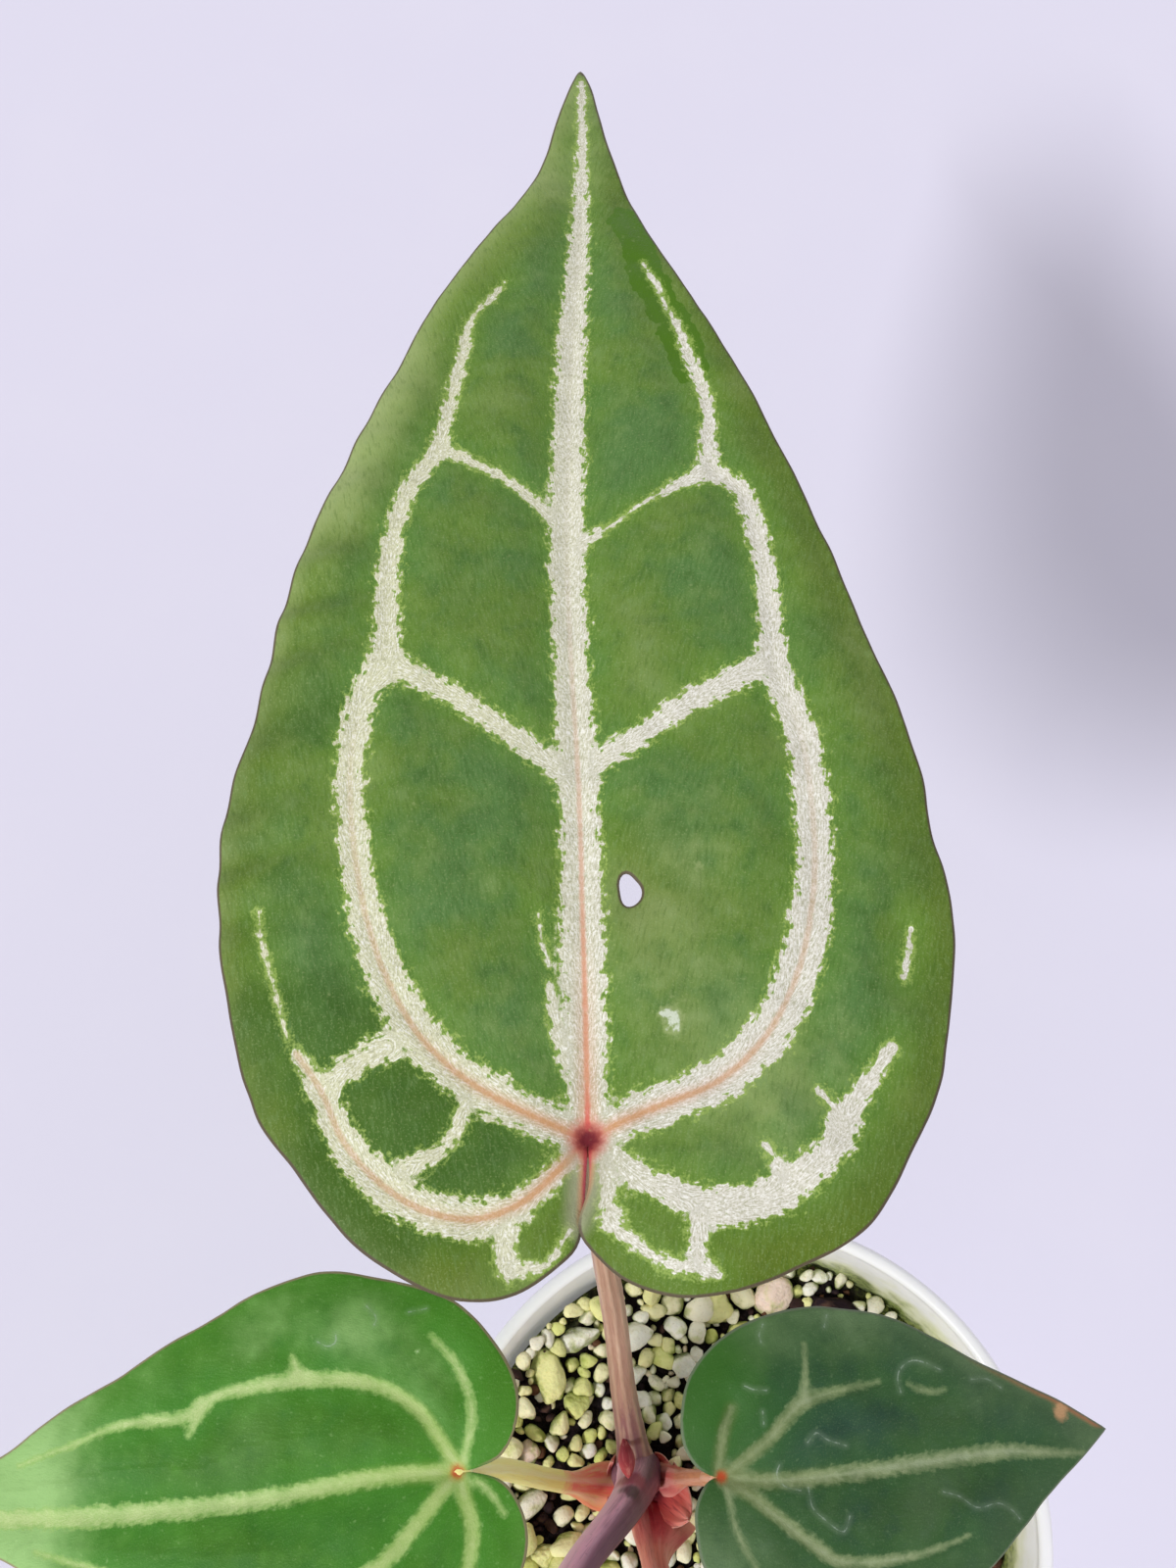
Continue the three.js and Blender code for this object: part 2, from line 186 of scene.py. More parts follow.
def put(tree, kind, sockets=None, out=None, stops=None, **fields):
    """Adds one node with its settings and links, and returns an output of it, the first in use if none is named.

    sockets holds values or other nodes' outputs by input name or number. stops are a colour ramp's places and codes.
    """
    node = tree.nodes.new(kind)
    for key, value in fields.items():
        setattr(node, key, value)
    if stops:
        ramp = node.color_ramp.elements
        while len(ramp) < len(stops):
            ramp.new(0.5)
        for element, (place, code) in zip(ramp, stops):
            element.position = place
            element.color = linear(code)
    for key, value in (sockets or {}).items():
        named = [s for s in node.inputs if s.enabled and s.name == key]
        socket = named[0] if named else node.inputs[key]
        if isinstance(value, bpy.types.NodeSocket):
            tree.links.new(value, socket)
        else:
            socket.default_value = value
    return node.outputs[out] if out else next(s for s in node.outputs if s.enabled)


def new_material(name, **surface):
    """A material with one surface shader, whose plain values are given, and a shorthand that adds nodes to it."""
    material = bpy.data.materials.new(name)
    material.use_nodes = True
    tree = material.node_tree
    tree.nodes.clear()
    shader = tree.nodes.new("ShaderNodeBsdfPrincipled")
    for key, value in surface.items():
        shader.inputs[key.replace("_", " ")].default_value = value
    result = tree.nodes.new("ShaderNodeOutputMaterial")
    tree.links.new(shader.outputs[0], result.inputs["Surface"])
    return material, partial(put, tree)


def finish_material(material, colour, roughness=None, bump=None):
    """Links a material's colour, roughness and bump, as far as they vary, to its shader, and returns it."""
    tree = material.node_tree
    for source, name in ((colour, "Base Color"), (roughness, "Roughness"), (bump, "Normal")):
        if source:
            tree.links.new(source, tree.nodes["Principled BSDF"].inputs[name])
    return material


def layered(add, base, layers):
    """A colour with layers laid over it in turn, each given as [source, low, high, strength, its own colour].

    A layer comes in softly as its source goes from low to high, up to its strength.
    """
    for source, low, high, strength, paint in layers:
        share = add(
            "ShaderNodeMapRange", {"Value": source, "From Min": low, "From Max": high, "To Max": strength},
            interpolation_type="SMOOTHSTEP",
        )
        paint = linear(paint) if isinstance(paint, str) else paint
        base = add("ShaderNodeMix", {"Factor": share, "A": base, "B": paint}, data_type="RGBA")
    return base


# Leaves


class Blade:
    """A leaf's curved sheet: u runs from the stalk towards the tip, and v to the left of the midrib."""

    CREASE = 0.03

    def __init__(self, foot, heading, pitch, length, half_width, arch, gutter, droop, bow=0):
        turn, tilt = radians(heading), radians(pitch)
        self.foot = np.array(foot, float)
        self.along = np.array([cos(tilt) * cos(turn), cos(tilt) * sin(turn), sin(tilt)])
        self.across = np.array([-sin(turn), cos(turn), 0])
        self.normal = np.cross(self.along, self.across)
        self.length, self.half_width, self.bow = length, half_width, bow
        self.arch, self.gutter, self.droop = arch, gutter, droop

    def lift(self, u, v):
        t = u / self.length
        hump = 4 * t * (1 - t)
        q = np.hypot((v - self.bow * hump) / self.half_width, self.CREASE) - self.CREASE
        return self.arch * hump + self.gutter * q - self.droop * q * q

    def place(self, u, v, offset):
        height = self.lift(u, v) + offset
        return (
            self.foot
            + np.outer(u, self.along)
            + np.outer(v, self.across)
            + height[:, None] * self.normal
        )


# Half outlines from the notch behind the stalk, round the lobe, to just before the tip: [u, v]
MAIN_LEFT = [
    [-1, 0.15], [-6, 0.5], [-11, 0.9], [-13.6, 1.7], [-15.7, 3.7], [-19.4, 9.4], [-20.4, 16.4], [-18.2, 22.9],
    [-14.6, 28.8], [-9.5, 34], [-4.4, 38.2], [2.2, 43.2], [12.3, 47], [21.9, 49.4], [31.7, 50.7], [40.6, 51],
    [49.4, 49.7], [57.7, 47.7], [65.4, 46.1], [74.4, 44.8], [90.6, 40.9], [105.2, 35.6], [120.7, 29.3],
    [139, 22], [152, 15], [163.6, 9], [173.2, 6], [183.1, 4], [191.5, 2], [195.2, 1], [197, 0.4],
]
MAIN_RIGHT = [
    [-1, -0.15], [-6, -0.5], [-11, -0.9], [-14, -1.9], [-17.3, -4.2], [-19.9, -10.5], [-19.7, -17.6],
    [-17.4, -25.3], [-13.7, -33.2], [-9.4, -38], [-0.9, -43.2], [7.6, -47.1], [17.9, -49.2], [27.6, -50.4],
    [35.5, -49.9], [42, -48.3], [50.2, -47.5], [61.9, -44.7], [70.7, -41.8], [78.8, -39.3], [89.9, -35.6],
    [99.8, -32.3], [112.4, -27.6], [126.6, -22.1], [142.1, -15.4], [153.8, -10.4], [162.1, -7.6],
    [175.7, -4.3], [185, -2.9], [191.5, -1.9], [195.2, -1], [197, -0.4],
]
SMALL_HALF = [
    [-1, 0.15], [-3, 0.5], [-6.8, 2], [-9.5, 6.4], [-9.9, 11.3], [-7.3, 17.7], [-2.2, 23.7], [4.6, 27.5],
    [10.5, 29.1], [17.2, 30.7], [22.7, 30.4], [31.5, 27.7], [37.1, 24.9], [45, 21.4], [51.9, 17.4],
    [60.6, 13.8], [72.4, 7.3], [83.2, 4.2], [94, 1.7], [99.2, 0.7],
]
RIGHT_UPPER = [
    [-1, 0.15], [-3.8, 2.1], [-5.5, 6.2], [-4.8, 11.8], [-2.1, 16.6], [4, 21.2], [12.9, 23.3], [21, 23.1],
    [28.7, 21.1], [35.8, 17.4], [44.8, 11.8], [50.5, 8.7], [58, 4.9],
]
RIGHT_LOWER = [
    [-1, -0.15], [-2.5, -0.9], [-4.6, -3.9], [-5.1, -8.2], [-4.6, -12], [-2, -17], [4, -21.8], [13, -24.6],
    [23, -24.6], [32, -21.8], [40.8, -17.3], [46.9, -12.4], [51.2, -9], [58.2, -4.7],
]

# Silver bands over the veins: [u, v, half width] along each, and the veins that bear a coloured line
MAIN_VEINS = {
    "midrib": [
        [0, 0, 2.6], [14.5, 0.2, 3.1], [28, 0.5, 3.1], [49.6, 1, 2.9], [71.4, 2.1, 2.7], [91.8, 2.6, 2.7],
        [108.4, 2.2, 2.6], [128.4, 1.7, 2.4], [150.5, 0.5, 1.7], [175.5, -0.2, 0.9], [194, -0.1, 0.6],
    ],
    "side_left": [
        [0, 0, 2.2], [2.6, 7.1, 2.7], [7, 15.5, 2.9], [12.8, 22.1, 3], [20.8, 26.9, 2.9], [30.4, 30.3, 2.5],
        [41.8, 32.4, 2.1], [52.1, 33.1, 2.1], [62.8, 31.6, 2.3], [68.3, 29, 2.3], [77.3, 28.9, 1.9],
        [87.4, 28.6, 1.6], [97.2, 26.7, 1.4], [105.1, 22.5, 1.4], [111.2, 21.2, 1.1], [123.1, 19.2, 1],
        [130, 18.2, 0.7], [133.4, 17, 0.2], [136.6, 14.8, 0.55], [140.5, 12.6, 0.15],
    ],
    "side_right": [
        [0, 0, 2.2], [3.2, -7.8, 2.8], [6.7, -16.9, 3], [12.5, -23.6, 3.1], [21.8, -28.6, 3], [34.2, -31.3, 2.7],
        [45.7, -31.6, 2.6], [57.7, -30.4, 2.4], [67.1, -27.4, 2.2], [76.9, -27.1, 1.8], [87, -26.2, 1.6],
        [97.7, -23.7, 1.5], [102.3, -19.4, 1.5], [112.8, -19.4, 1], [122.8, -17.1, 0.85], [131, -15, 0.6],
        [136, -13.2, 0.2], [139.5, -12, 0.5], [144.7, -9.9, 0.1],
    ],
    "rung_1_left": [[51, 3.1, 1.8], [56.8, 10.7, 1.6], [62.7, 19.2, 1.6], [67.5, 27.8, 2]],
    "rung_1_right": [[52.5, -1.1, 1.8], [55.9, -7.4, 1.7], [61, -14.5, 1.7], [67.1, -25.9, 2]],
    "rung_2_left": [[94.3, 5.2, 1.1], [99.4, 11.2, 0.7], [105.5, 21, 1]],
    "rung_2_right": [
        [87.5, 2, 1.3], [89.6, -0.8, 1], [92, -4.6, 0.3], [94.6, -8.1, 0.2], [97.6, -12.6, 0.7], [100.5, -17.9, 1.5],
    ],
    "lobe_left": [
        [0, 0, 1.5], [-4.2, 3.9, 1.4], [-8.6, 9, 1.8], [-10.5, 15.3, 2.6], [-9.3, 21.7, 2.7], [-5.6, 27.5, 2.7],
        [-0.5, 32.1, 2.2], [5.9, 35.2, 1.5], [11, 38.8, 0.6],
    ],
    "lobe_link_left": [[11.5, 26.7, 2], [9, 31.5, 1.6], [6.2, 35, 1.6]],
    "lobe_rung_left": [[5.7, 15.5, 1.2], [-0.6, 18, 0.8], [-4.4, 23.7, 1.3]],
    "lobe_spur_left": [[-9.9, 10.2, 1.5], [-13.5, 10.9, 1.4], [-17, 10.4, 1]],
    "lobe_edge_left": [[-16.5, 10.2, 0.9], [-16.2, 5.8, 0.5], [-11.6, 2.4, 0.3]],
    "lobe_right": [
        [-0.4, -1.3, 1.3], [-5, -6.4, 1.6], [-7.6, -11.4, 1.9], [-9.2, -17.7, 2.5], [-7.2, -25.4, 2.5],
        [-1.6, -32.1, 2.1], [4.7, -35.7, 1.5], [11.3, -40.7, 0.7],
    ],
    "lobe_spur_right": [[0.5, -33.4, 1.4], [3.4, -32.3, 0.7], [5.7, -30.5, 0.3]],
    "lobe_spur_inner": [[-7, -25.9, 1.6], [-4.1, -24.9, 0.8], [-1.4, -23.1, 0.3]],
    "lobe_link_right": [[-9.5, -14.5, 1.8], [-12.6, -14, 1.1], [-16.2, -14.2, 0.9], [-17.6, -16.6, 0.4]],
    "lobe_edge_right": [
        [-1.9, -1.9, 0.9], [-6.4, -2.9, 1], [-10.4, -4.1, 0.9], [-14.4, -7.4, 0.7], [-16.6, -11.2, 0.8],
        [-16.4, -14.2, 0.9],
    ],
    "fleck_right": [[20.7, -42.9, 0.45], [24.8, -43.8, 0.4], [27.9, -44.4, 0.2]],
    "fleck_left": [
        [13, 40, 0.1], [16, 41, 0.3], [20, 42.3, 0.15], [24.5, 43.8, 0.4], [27, 44.4, 0.15], [30.9, 45, 0.3],
    ],
    "tuft_left": [[10, 2.6, 1.2], [15, 4, 1], [20, 5.2, 0.3]],
    "tuft_end_left": [[23, 5.2, 0.2], [26, 6, 0.35], [30, 6.6, 0.1]],
}
FRONT_SIDE = {
    "side": [
        [0, 0, 1.6], [2, 5, 1.8], [5.5, 10.5, 1.9], [12, 15.5, 1.9], [22, 18.3, 1.7], [34, 18, 1.5],
        [45, 15, 1.3], [56, 12, 1], [66, 9, 0.6], [76, 5.6, 0.25],
    ],
    "rung_1": [[28, 0.5, 1.2], [33, 6, 1], [38, 12, 1], [41, 16, 1.3]],
    "rung_2": [[50, 0.5, 0.8], [54, 5, 0.35], [58, 11, 0.8]],
    "lobe": [
        [0, 0, 1.2], [-3.5, 4, 1.1], [-5.5, 9.5, 1.7], [-4.5, 15.5, 1.7], [-0.5, 20.5, 1.3], [5, 23.8, 0.8],
        [11, 25.6, 0.3],
    ],
    "lobe_rung": [[6, 11, 1], [2.5, 15, 0.5], [-1.5, 18.8, 0.9]],
    "lobe_spur": [[-5.4, 8, 1], [-8, 8.5, 0.7], [-8.4, 5, 0.3]],
}
FRONT_VEINS = {
    "midrib": [[0, 0, 1.7], [20, 0.3, 1.9], [45, 0.4, 1.6], [65, 0.2, 1.1], [80, 0, 0.6], [96, 0, 0.2]],
    **{f"{key}_left": line for key, line in FRONT_SIDE.items()},
    **{f"{key}_right": [[u + 1.5, -v, w] for u, v, w in line] for key, line in FRONT_SIDE.items()},
}
LEFT_VEINS = {
    "midrib": [
        [0, 0, 0.8], [9.5, -0.3, 1.1], [31.9, 1.8, 1.3], [55.5, 2.3, 1.5], [72.5, 1.7, 1.3], [88, 0.8, 0.8],
        [97, 0, 0.3],
    ],
    "side_right": [
        [-0.1, -1, 0.6], [4.4, -9, 0.8], [11.5, -13.6, 1], [22, -15, 1.1], [30, -14.6, 1], [35.9, -13.6, 0.7],
        [40.7, -11.1, 0.8], [46, -10.9, 0.8], [52, -10.5, 0.45], [60, -8.2, 0.4], [68.9, -5.9, 0.25],
    ],
    "spur_right": [[38.3, -12.5, 0.7], [39.2, -9.9, 0.35], [40.2, -8.2, 0.1]],
    "rise_right": [[22.5, -15.6, 0.8], [23.4, -18.6, 0.2]],
    "lobe_right": [[-1.3, -1.6, 0.4], [-3.3, -8.4, 0.65], [-1.1, -15.7, 0.5], [2.4, -20, 0.25]],
    "side_left": [
        [0.8, 1, 0.8], [5.2, 6.2, 1.1], [11.9, 12.4, 1.1], [20, 15.5, 1], [32, 15.4, 0.8], [44, 12.8, 0.6],
        [56, 9.6, 0.4], [66, 6.8, 0.25],
    ],
    "lobe_left": [[-0.7, 1.8, 0.7], [-2.3, 8.1, 0.9], [-1.4, 13.4, 0.7], [1.5, 18.5, 0.4], [6, 22, 0.25]],
    "lobe_edge_left": [[-3.2, 1.6, 0.3], [-4.5, 2.6, 0.35], [-7, 6.4, 0.2]],
}
RIGHT_VEINS = {
    "midrib": [
        [0.4, -0.2, 0.6], [7.8, -1.4, 1], [16.9, -1.6, 1.25], [32.5, -1.3, 1.25], [46, -1.3, 1.2],
        [53, -2.2, 0.7], [60.2, -3.1, 0.4],
    ],
    "side_left": [
        [1.2, 0.5, 0.7], [7.5, 4.8, 0.9], [12.8, 9.3, 1.1], [16.4, 10.2, 0.8], [21.6, 10.9, 0.45],
        [26, 11.3, 0.2],
    ],
    "rise_left": [[13.5, 9.8, 0.7], [14.3, 14, 0.45], [14.9, 18.2, 0.25]],
    "fleck_left": [[30.5, 10.5, 0.3], [32.4, 9.5, 0.5], [34.6, 8.9, 0.4], [36.5, 9, 0.2]],
    "lobe_left": [[-0.4, 1.4, 0.35], [0.6, 6.1, 0.6], [2.2, 9.8, 0.3]],
    "side_right": [
        [1.4, -1, 0.7], [7, -6.3, 0.9], [12.2, -11.2, 1], [15.5, -13.7, 0.9], [23.8, -14.6, 0.8],
        [30.5, -14.1, 0.4], [37, -12.6, 0.2],
    ],
    "lobe_right": [[0.3, -1.6, 0.4], [0.7, -7.1, 0.5], [2.8, -12.8, 0.4], [6, -17, 0.2]],
}
# Pale hair-thin scratches left by handling: [u, v] along each
RIGHT_SCRATCHES = [
    [[9.1, 21.8], [8.1, 20.2], [8.1, 19.1]],
    [[4.4, 12.9], [5.5, 12.3], [7.6, 11.9]],
    [[29.2, 9.4], [29.1, 11.6], [29.9, 13], [31.7, 13.9], [33.6, 13.5], [36.3, 12.1]],
    [[41.4, 10.1], [44.4, 9.8], [46.4, 8.3]],
    [[8.6, 0.8], [8.1, -0.4], [9, -2.3], [11.3, -3.2]],
    [[12.6, -2.9], [12.6, -5.7], [14, -7.5], [16.8, -9.7], [18, -7.6]],
    [[33.8, -5.9], [36.2, -6.8], [38.8, -8.7], [42.8, -8.6], [45.1, -9.9], [46.3, -11.3]],
    [[13.1, 3.6], [14.6, 4.9], [16.2, 3.7], [19.2, 2.5]],
    [[6.7, 8.9], [6.7, 7]],
    [[19.6, 22.2], [18.7, 20.4]],
]
LEFT_SCRATCHES = [
    [[19.4, -20.4], [17.8, -19.6], [16.6, -20.1], [16.5, -21.4]],
    [[11.9, -25.1], [10.4, -23.3], [10.7, -22.2]],
    [[5.6, -23.7], [2.9, -24]],
]


def mirrored(half):
    return [[u, -v] for u, v in half]


def stretched(lines, share):
    return {key: [[share * c for c in point] for point in line] for key, line in lines.items()}


# What most leaves share. stretch is how much larger the blade is than its outline and veins, step the length of its
# mesh's edges, quilt how far its panels puff up, scars are [u, v, radius], and spots of painted sheen are
# [u, v, reach, strength], painted shade instead where the strength is negative.
PLAIN_LEAF = {
    "left": SMALL_HALF, "right": mirrored(SMALL_HALF), "veins": FRONT_VEINS, "stretch": 1, "hole": None,
    "overlap": 0, "ripples": 0, "skin": "green", "scratches": [], "scars": [],
}
LEAVES = {
    "main": {
        **PLAIN_LEAF, "blade": Blade([-25.7, 54.6, 178], 90.4, -9.3, 197.5, 52, 8, 7, 8, bow=2),
        "left": MAIN_LEFT, "right": MAIN_RIGHT, "veins": MAIN_VEINS, "hole": [33.5, -6, 2.35, 1.75],
        "overlap": 2.3, "ripples": 0.62, "quilt": 0.9, "step": 0.85, "seed": 3,
        "scars": [[15.1, -11.3, 2.3], [36, -15.3, 0.7], [48.2, -7.4, 0.35], [5.5, -19.5, 0.3], [21, -16.5, 0.25]],
        "sheen_and_shade_spots": [
            [8, -22, 13, 0.6], [70, -45, 13, 0.35], [26, -8, 10, 0.4], [40, -16, 10, 0.3], [12, 8, 9, 0.25],
            [34, 20, 14, 0.15], [112, 36, 9, 0.8], [100, 40, 9, 0.6], [124, 30, 9, 0.7], [92, 41, 12, 0.3],
            [70, 46, 8, 0.3], [42, 49, 8, 0.3], [22, 48, 7, 0.25], [190, 0, 30, 0.45], [165, 5, 8, 0.3],
            [-8, 30, 9, -1.4], [-2, 18, 8, -1.5], [8, 30, 8, -1.3], [60, 38, 7, -0.5], [34, 42, 6, -0.5],
            [16, 45, 7, -0.6], [20, 36, 8, -0.35], [-13, 38, 9, -0.3],
        ],
    },
    "left": {
        **PLAIN_LEAF, "blade": Blade([-45.6, 11.3, 128], 184.5, -12.6, 100.6, 33, 5, 5, 7),
        "veins": LEFT_VEINS, "scratches": LEFT_SCRATCHES, "skin": "bright", "quilt": 0.7, "step": 0.75, "seed": 5,
        "scars": [[4.2, -17.8, 0.5], [69.2, 5.3, 0.4]],
        "sheen_and_shade_spots": [
            [14, -21, 5, 0.35], [31, -22, 5, 0.3], [24, -25, 8, 0.3], [46, -19, 9, 0.25], [10, -22, 8, 0.3],
            [62, -12, 9, 0.3], [82, 2, 18, 2.4], [30, 6, 12, -0.3], [36, -6, 9, -0.3], [2, -14, 7, 0.3],
        ],
    },
    "right": {
        **PLAIN_LEAF, "blade": Blade([-4.9, 10.3, 120], 6, -14, 66.2, 26, 4, 4, 6),
        "left": RIGHT_UPPER, "right": RIGHT_LOWER, "veins": RIGHT_VEINS, "scratches": RIGHT_SCRATCHES,
        "skin": "dark", "quilt": 0.6, "step": 0.6, "seed": 8, "scars": [[39.2, 9.6, 0.3]],
        "sheen_and_shade_spots": [
            [8, 21, 7, 0.6], [24, 22, 8, 0.5], [42, 12, 8, 0.35], [62, 0, 8, 0.45], [-2, -12, 7, 0.5],
            [8, -22, 8, 0.4], [30, -20, 9, 0.25], [14, -2, 7, 0.2],
        ],
    },
    "front_left": {
        **PLAIN_LEAF, "blade": Blade([-45, -32, 146], 235, -14, 125, 41, 6, 6, 8), "stretch": 1.243,
        "quilt": 0.9, "step": 0.95, "seed": 13, "sheen_and_shade_spots": [[20, -20, 15, 0.4], [70, 20, 16, 0.4], [40, 30, 12, -0.3]],
    },
    "front_right": {
        **PLAIN_LEAF, "blade": Blade([-6, -30, 126], 305, -16, 105, 34.5, 5, 5, 7), "stretch": 1.044,
        "quilt": 0.8, "step": 0.9, "seed": 21, "sheen_and_shade_spots": [[16, 16, 12, 0.4], [60, -15, 14, 0.4], [30, -25, 10, -0.3]],
    },
}
# Bands are drawn at this share of their widths, and feathered tufts make up the rest. Where two meet, they run
# together over the blend.
BAND_SHARE = 0.9
BAND_BLEND = 0.7
BLADE_HALF_THICK = 0.24
# How deep the midrib and the side veins sink above, and how far they stand out below
MIDRIB_SINK, MIDRIB_RIB = 0.45, 1.25
SIDE_SINK, SIDE_RIB = 0.3, 0.55
MARGIN_WAVE = 0.95
# A darker streak where the velvet of the largest leaf is wet: [u, v] along it, and its colour
WET_GREEN = "#4a7600"
WET_STREAK = [[156, -7.4], [148, -9.4], [141, -10.8], [131, -14.6], [121, -17]]
# The slit between a blade's two lobes, behind its stalk: [u, v] along it
SLIT = np.array([[-0.5 * i, 0.02 * i] for i in range(22)])
# The middle of the burnt spot near the dark leaf's tip
BURNT_SPOT = (57.3, 3.6, 0)


def thinned(points, gap, kept=()):
    """The points that lie at least a gap from those kept before them."""
    cells = {}
    chosen = []
    for fixed, group in ((True, kept), (False, points)):
        for point in group:
            column, row = int(point[0] // gap), int(point[1] // gap)
            near = [q for i in (-1, 0, 1) for j in (-1, 0, 1) for q in cells.get((column + i, row + j), ())]
            if not fixed:
                if any((point[0] - q[0]) ** 2 + (point[1] - q[1]) ** 2 < gap * gap for q in near):
                    continue
                chosen.append(point)
            cells.setdefault((column, row), []).append(point)
    return np.array(chosen)


def inside(points, loop):
    """Whether each point lies inside a closed loop."""
    x, y = points[:, 0, None], points[:, 1, None]
    a, b = loop, np.roll(loop, -1, axis=0)
    crosses = (a[:, 1] > y) != (b[:, 1] > y)
    with np.errstate(divide="ignore", invalid="ignore"):
        at = a[:, 0] + (y - a[:, 1]) * (b[:, 0] - a[:, 0]) / (b[:, 1] - a[:, 1])
    return (crosses & (x < at)).sum(1) % 2 == 1


def blade_loops(leaf):
    """The blade's rim, anticlockwise seen from above, and its hole where it has one."""
    stretch, blade = leaf["stretch"], leaf["blade"]
    tip = [[blade.length / stretch, 0]]
    halves = [smooth(leaf[side] + tip, leaf["step"] / stretch) * stretch for side in ("left", "right")]
    rim = np.vstack([[[-0.4, 0]], halves[1], halves[0][::-1][1:]])
    wander = rough(flat3(rim), 9, leaf["seed"], 2)
    outward = rim / np.maximum(np.linalg.norm(rim, axis=1), 1)[:, None]
    away = ease(np.linalg.norm(rim, axis=1), 16, 26) * ease(blade.length - rim[:, 0], 4, 18)
    rim += outward * (wander * 0.35 * away)[:, None]
    if not leaf["hole"]:
        return [rim]
    u, v, long_half, wide_half = leaf["hole"]
    angles = np.arange(26) / 26 * 2 * pi
    swell = 1 + 0.1 * np.sin(2 * angles + 0.5) + 0.08 * np.sin(3 * angles)
    hole = np.column_stack([u + long_half * swell * np.cos(angles), v + wide_half * swell * np.sin(angles)])
    return [rim, hole]


def blade_mesh(loops, seams, step):
    """Points and triangles that fill the rim, leave the hole open and follow the seams."""
    fixed = np.vstack(loops)
    low, high = loops[0].min(0), loops[0].max(0)
    rows = np.arange(low[1], high[1], step * 0.866)
    columns = np.arange(low[0], high[0], step)
    grid = np.array([[c + step / 2 * (i % 2), r] for i, r in enumerate(rows) for c in columns])
    loose = np.vstack([thinned(np.vstack(seams), step * 0.55, fixed), grid])
    loose = thinned(loose, step * 0.55, fixed)
    keep = inside(loose, loops[0])
    for hole in loops[1:]:
        keep &= ~inside(loose, hole)
    points = np.vstack([fixed, loose[keep]])
    edges, start = [], 0
    for loop in loops:
        edges += [(start + i, start + (i + 1) % len(loop)) for i in range(len(loop))]
        start += len(loop)
    found = delaunay_2d_cdt([Vector(p) for p in points], edges, [], 0, 1e-6)
    points = np.array([tuple(p) for p in found[0]])
    triangles = np.array(found[2])
    middles = points[triangles].mean(1)
    keep = inside(middles, loops[0])
    for hole in loops[1:]:
        keep &= ~inside(middles, hole)
    triangles = triangles[keep]
    a, b, c = points[triangles[:, 0]], points[triangles[:, 1]], points[triangles[:, 2]]
    turn = (b[:, 0] - a[:, 0]) * (c[:, 1] - a[:, 1]) - (b[:, 1] - a[:, 1]) * (c[:, 0] - a[:, 0])
    triangles[turn < 0] = triangles[turn < 0][:, ::-1]
    used = np.unique(triangles)
    renumber = np.full(len(points), -1)
    renumber[used] = np.arange(len(used))
    return points[used], renumber[triangles]


def open_edges(triangles):
    """Edges that only one triangle has, each in that triangle's direction."""
    directed = {(int(t[i]), int(t[(i + 1) % 3])) for t in triangles for i in range(3)}
    return [edge for edge in directed if (edge[1], edge[0]) not in directed]


def vein_fields(leaf, points, veins, loops):
    """Distances that the blade's relief and colours are drawn from."""
    edges, runs, halves, lined = [], [], [], {"midrib": None, "side": None}
    for number, (key, line) in enumerate(veins.items()):
        gap, index = nearest(points, line)
        halves.append(line[index, 2] * BAND_SHARE)
        edges.append(gap - halves[-1])
        steps = np.concatenate([[0], np.cumsum(np.linalg.norm(np.diff(line[:, :2], axis=0), axis=1))])
        runs.append(steps[index] + 37 * number)
        kind = "midrib" if key == "midrib" else "side" if key.startswith(("side", "lobe_left")) else None
        if kind:
            lined[kind] = gap if lined[kind] is None else np.minimum(lined[kind], gap)
    edges = np.array(edges)
    closest = edges.argmin(0), np.arange(len(points))
    scratch_gap = np.full(len(points), 9.0)
    for scratch in leaf["scratches"]:
        scratch_gap = np.minimum(scratch_gap, nearest(points, smooth(scratch, 0.3))[0])
    fields = {
        "vein_edge": -BAND_BLEND * np.logaddexp.reduce(-edges / BAND_BLEND, axis=0),
        "vein_run": np.array(runs)[closest],
        "vein_half": np.array(halves)[closest],
        "rib_gap": lined["midrib"],
        "side_gap": lined["side"],
        "foot_gap": np.hypot(points[:, 0], points[:, 1]),
        "rim_gap": np.min([nearest(points, loop)[0] for loop in loops], axis=0),
        "scratch_gap": scratch_gap,
        "slit_gap": nearest(points, SLIT)[0],
        "wet": np.zeros(len(points)),
        "scar": np.zeros(len(points)),
        "sheen_and_shade": np.zeros(len(points)),
    }
    for u, v, reach, strength in leaf["sheen_and_shade_spots"]:
        fields["sheen_and_shade"] += strength * np.exp(-((points[:, 0] - u) ** 2 + (points[:, 1] - v) ** 2) / reach**2)
    for u, v, radius in leaf["scars"]:
        off = np.hypot(points[:, 0] - u, points[:, 1] - v) / radius * (1 + 0.5 * rough(flat3(points), 1.4, 7))
        fields["scar"] = np.maximum(fields["scar"], 1 - ease(off, 0.1, 1.3))
    if leaf["overlap"]:
        fields["wet"] = 1 - ease(nearest(points, smooth(WET_STREAK, 0.5))[0], 1.2, 5)
    return fields


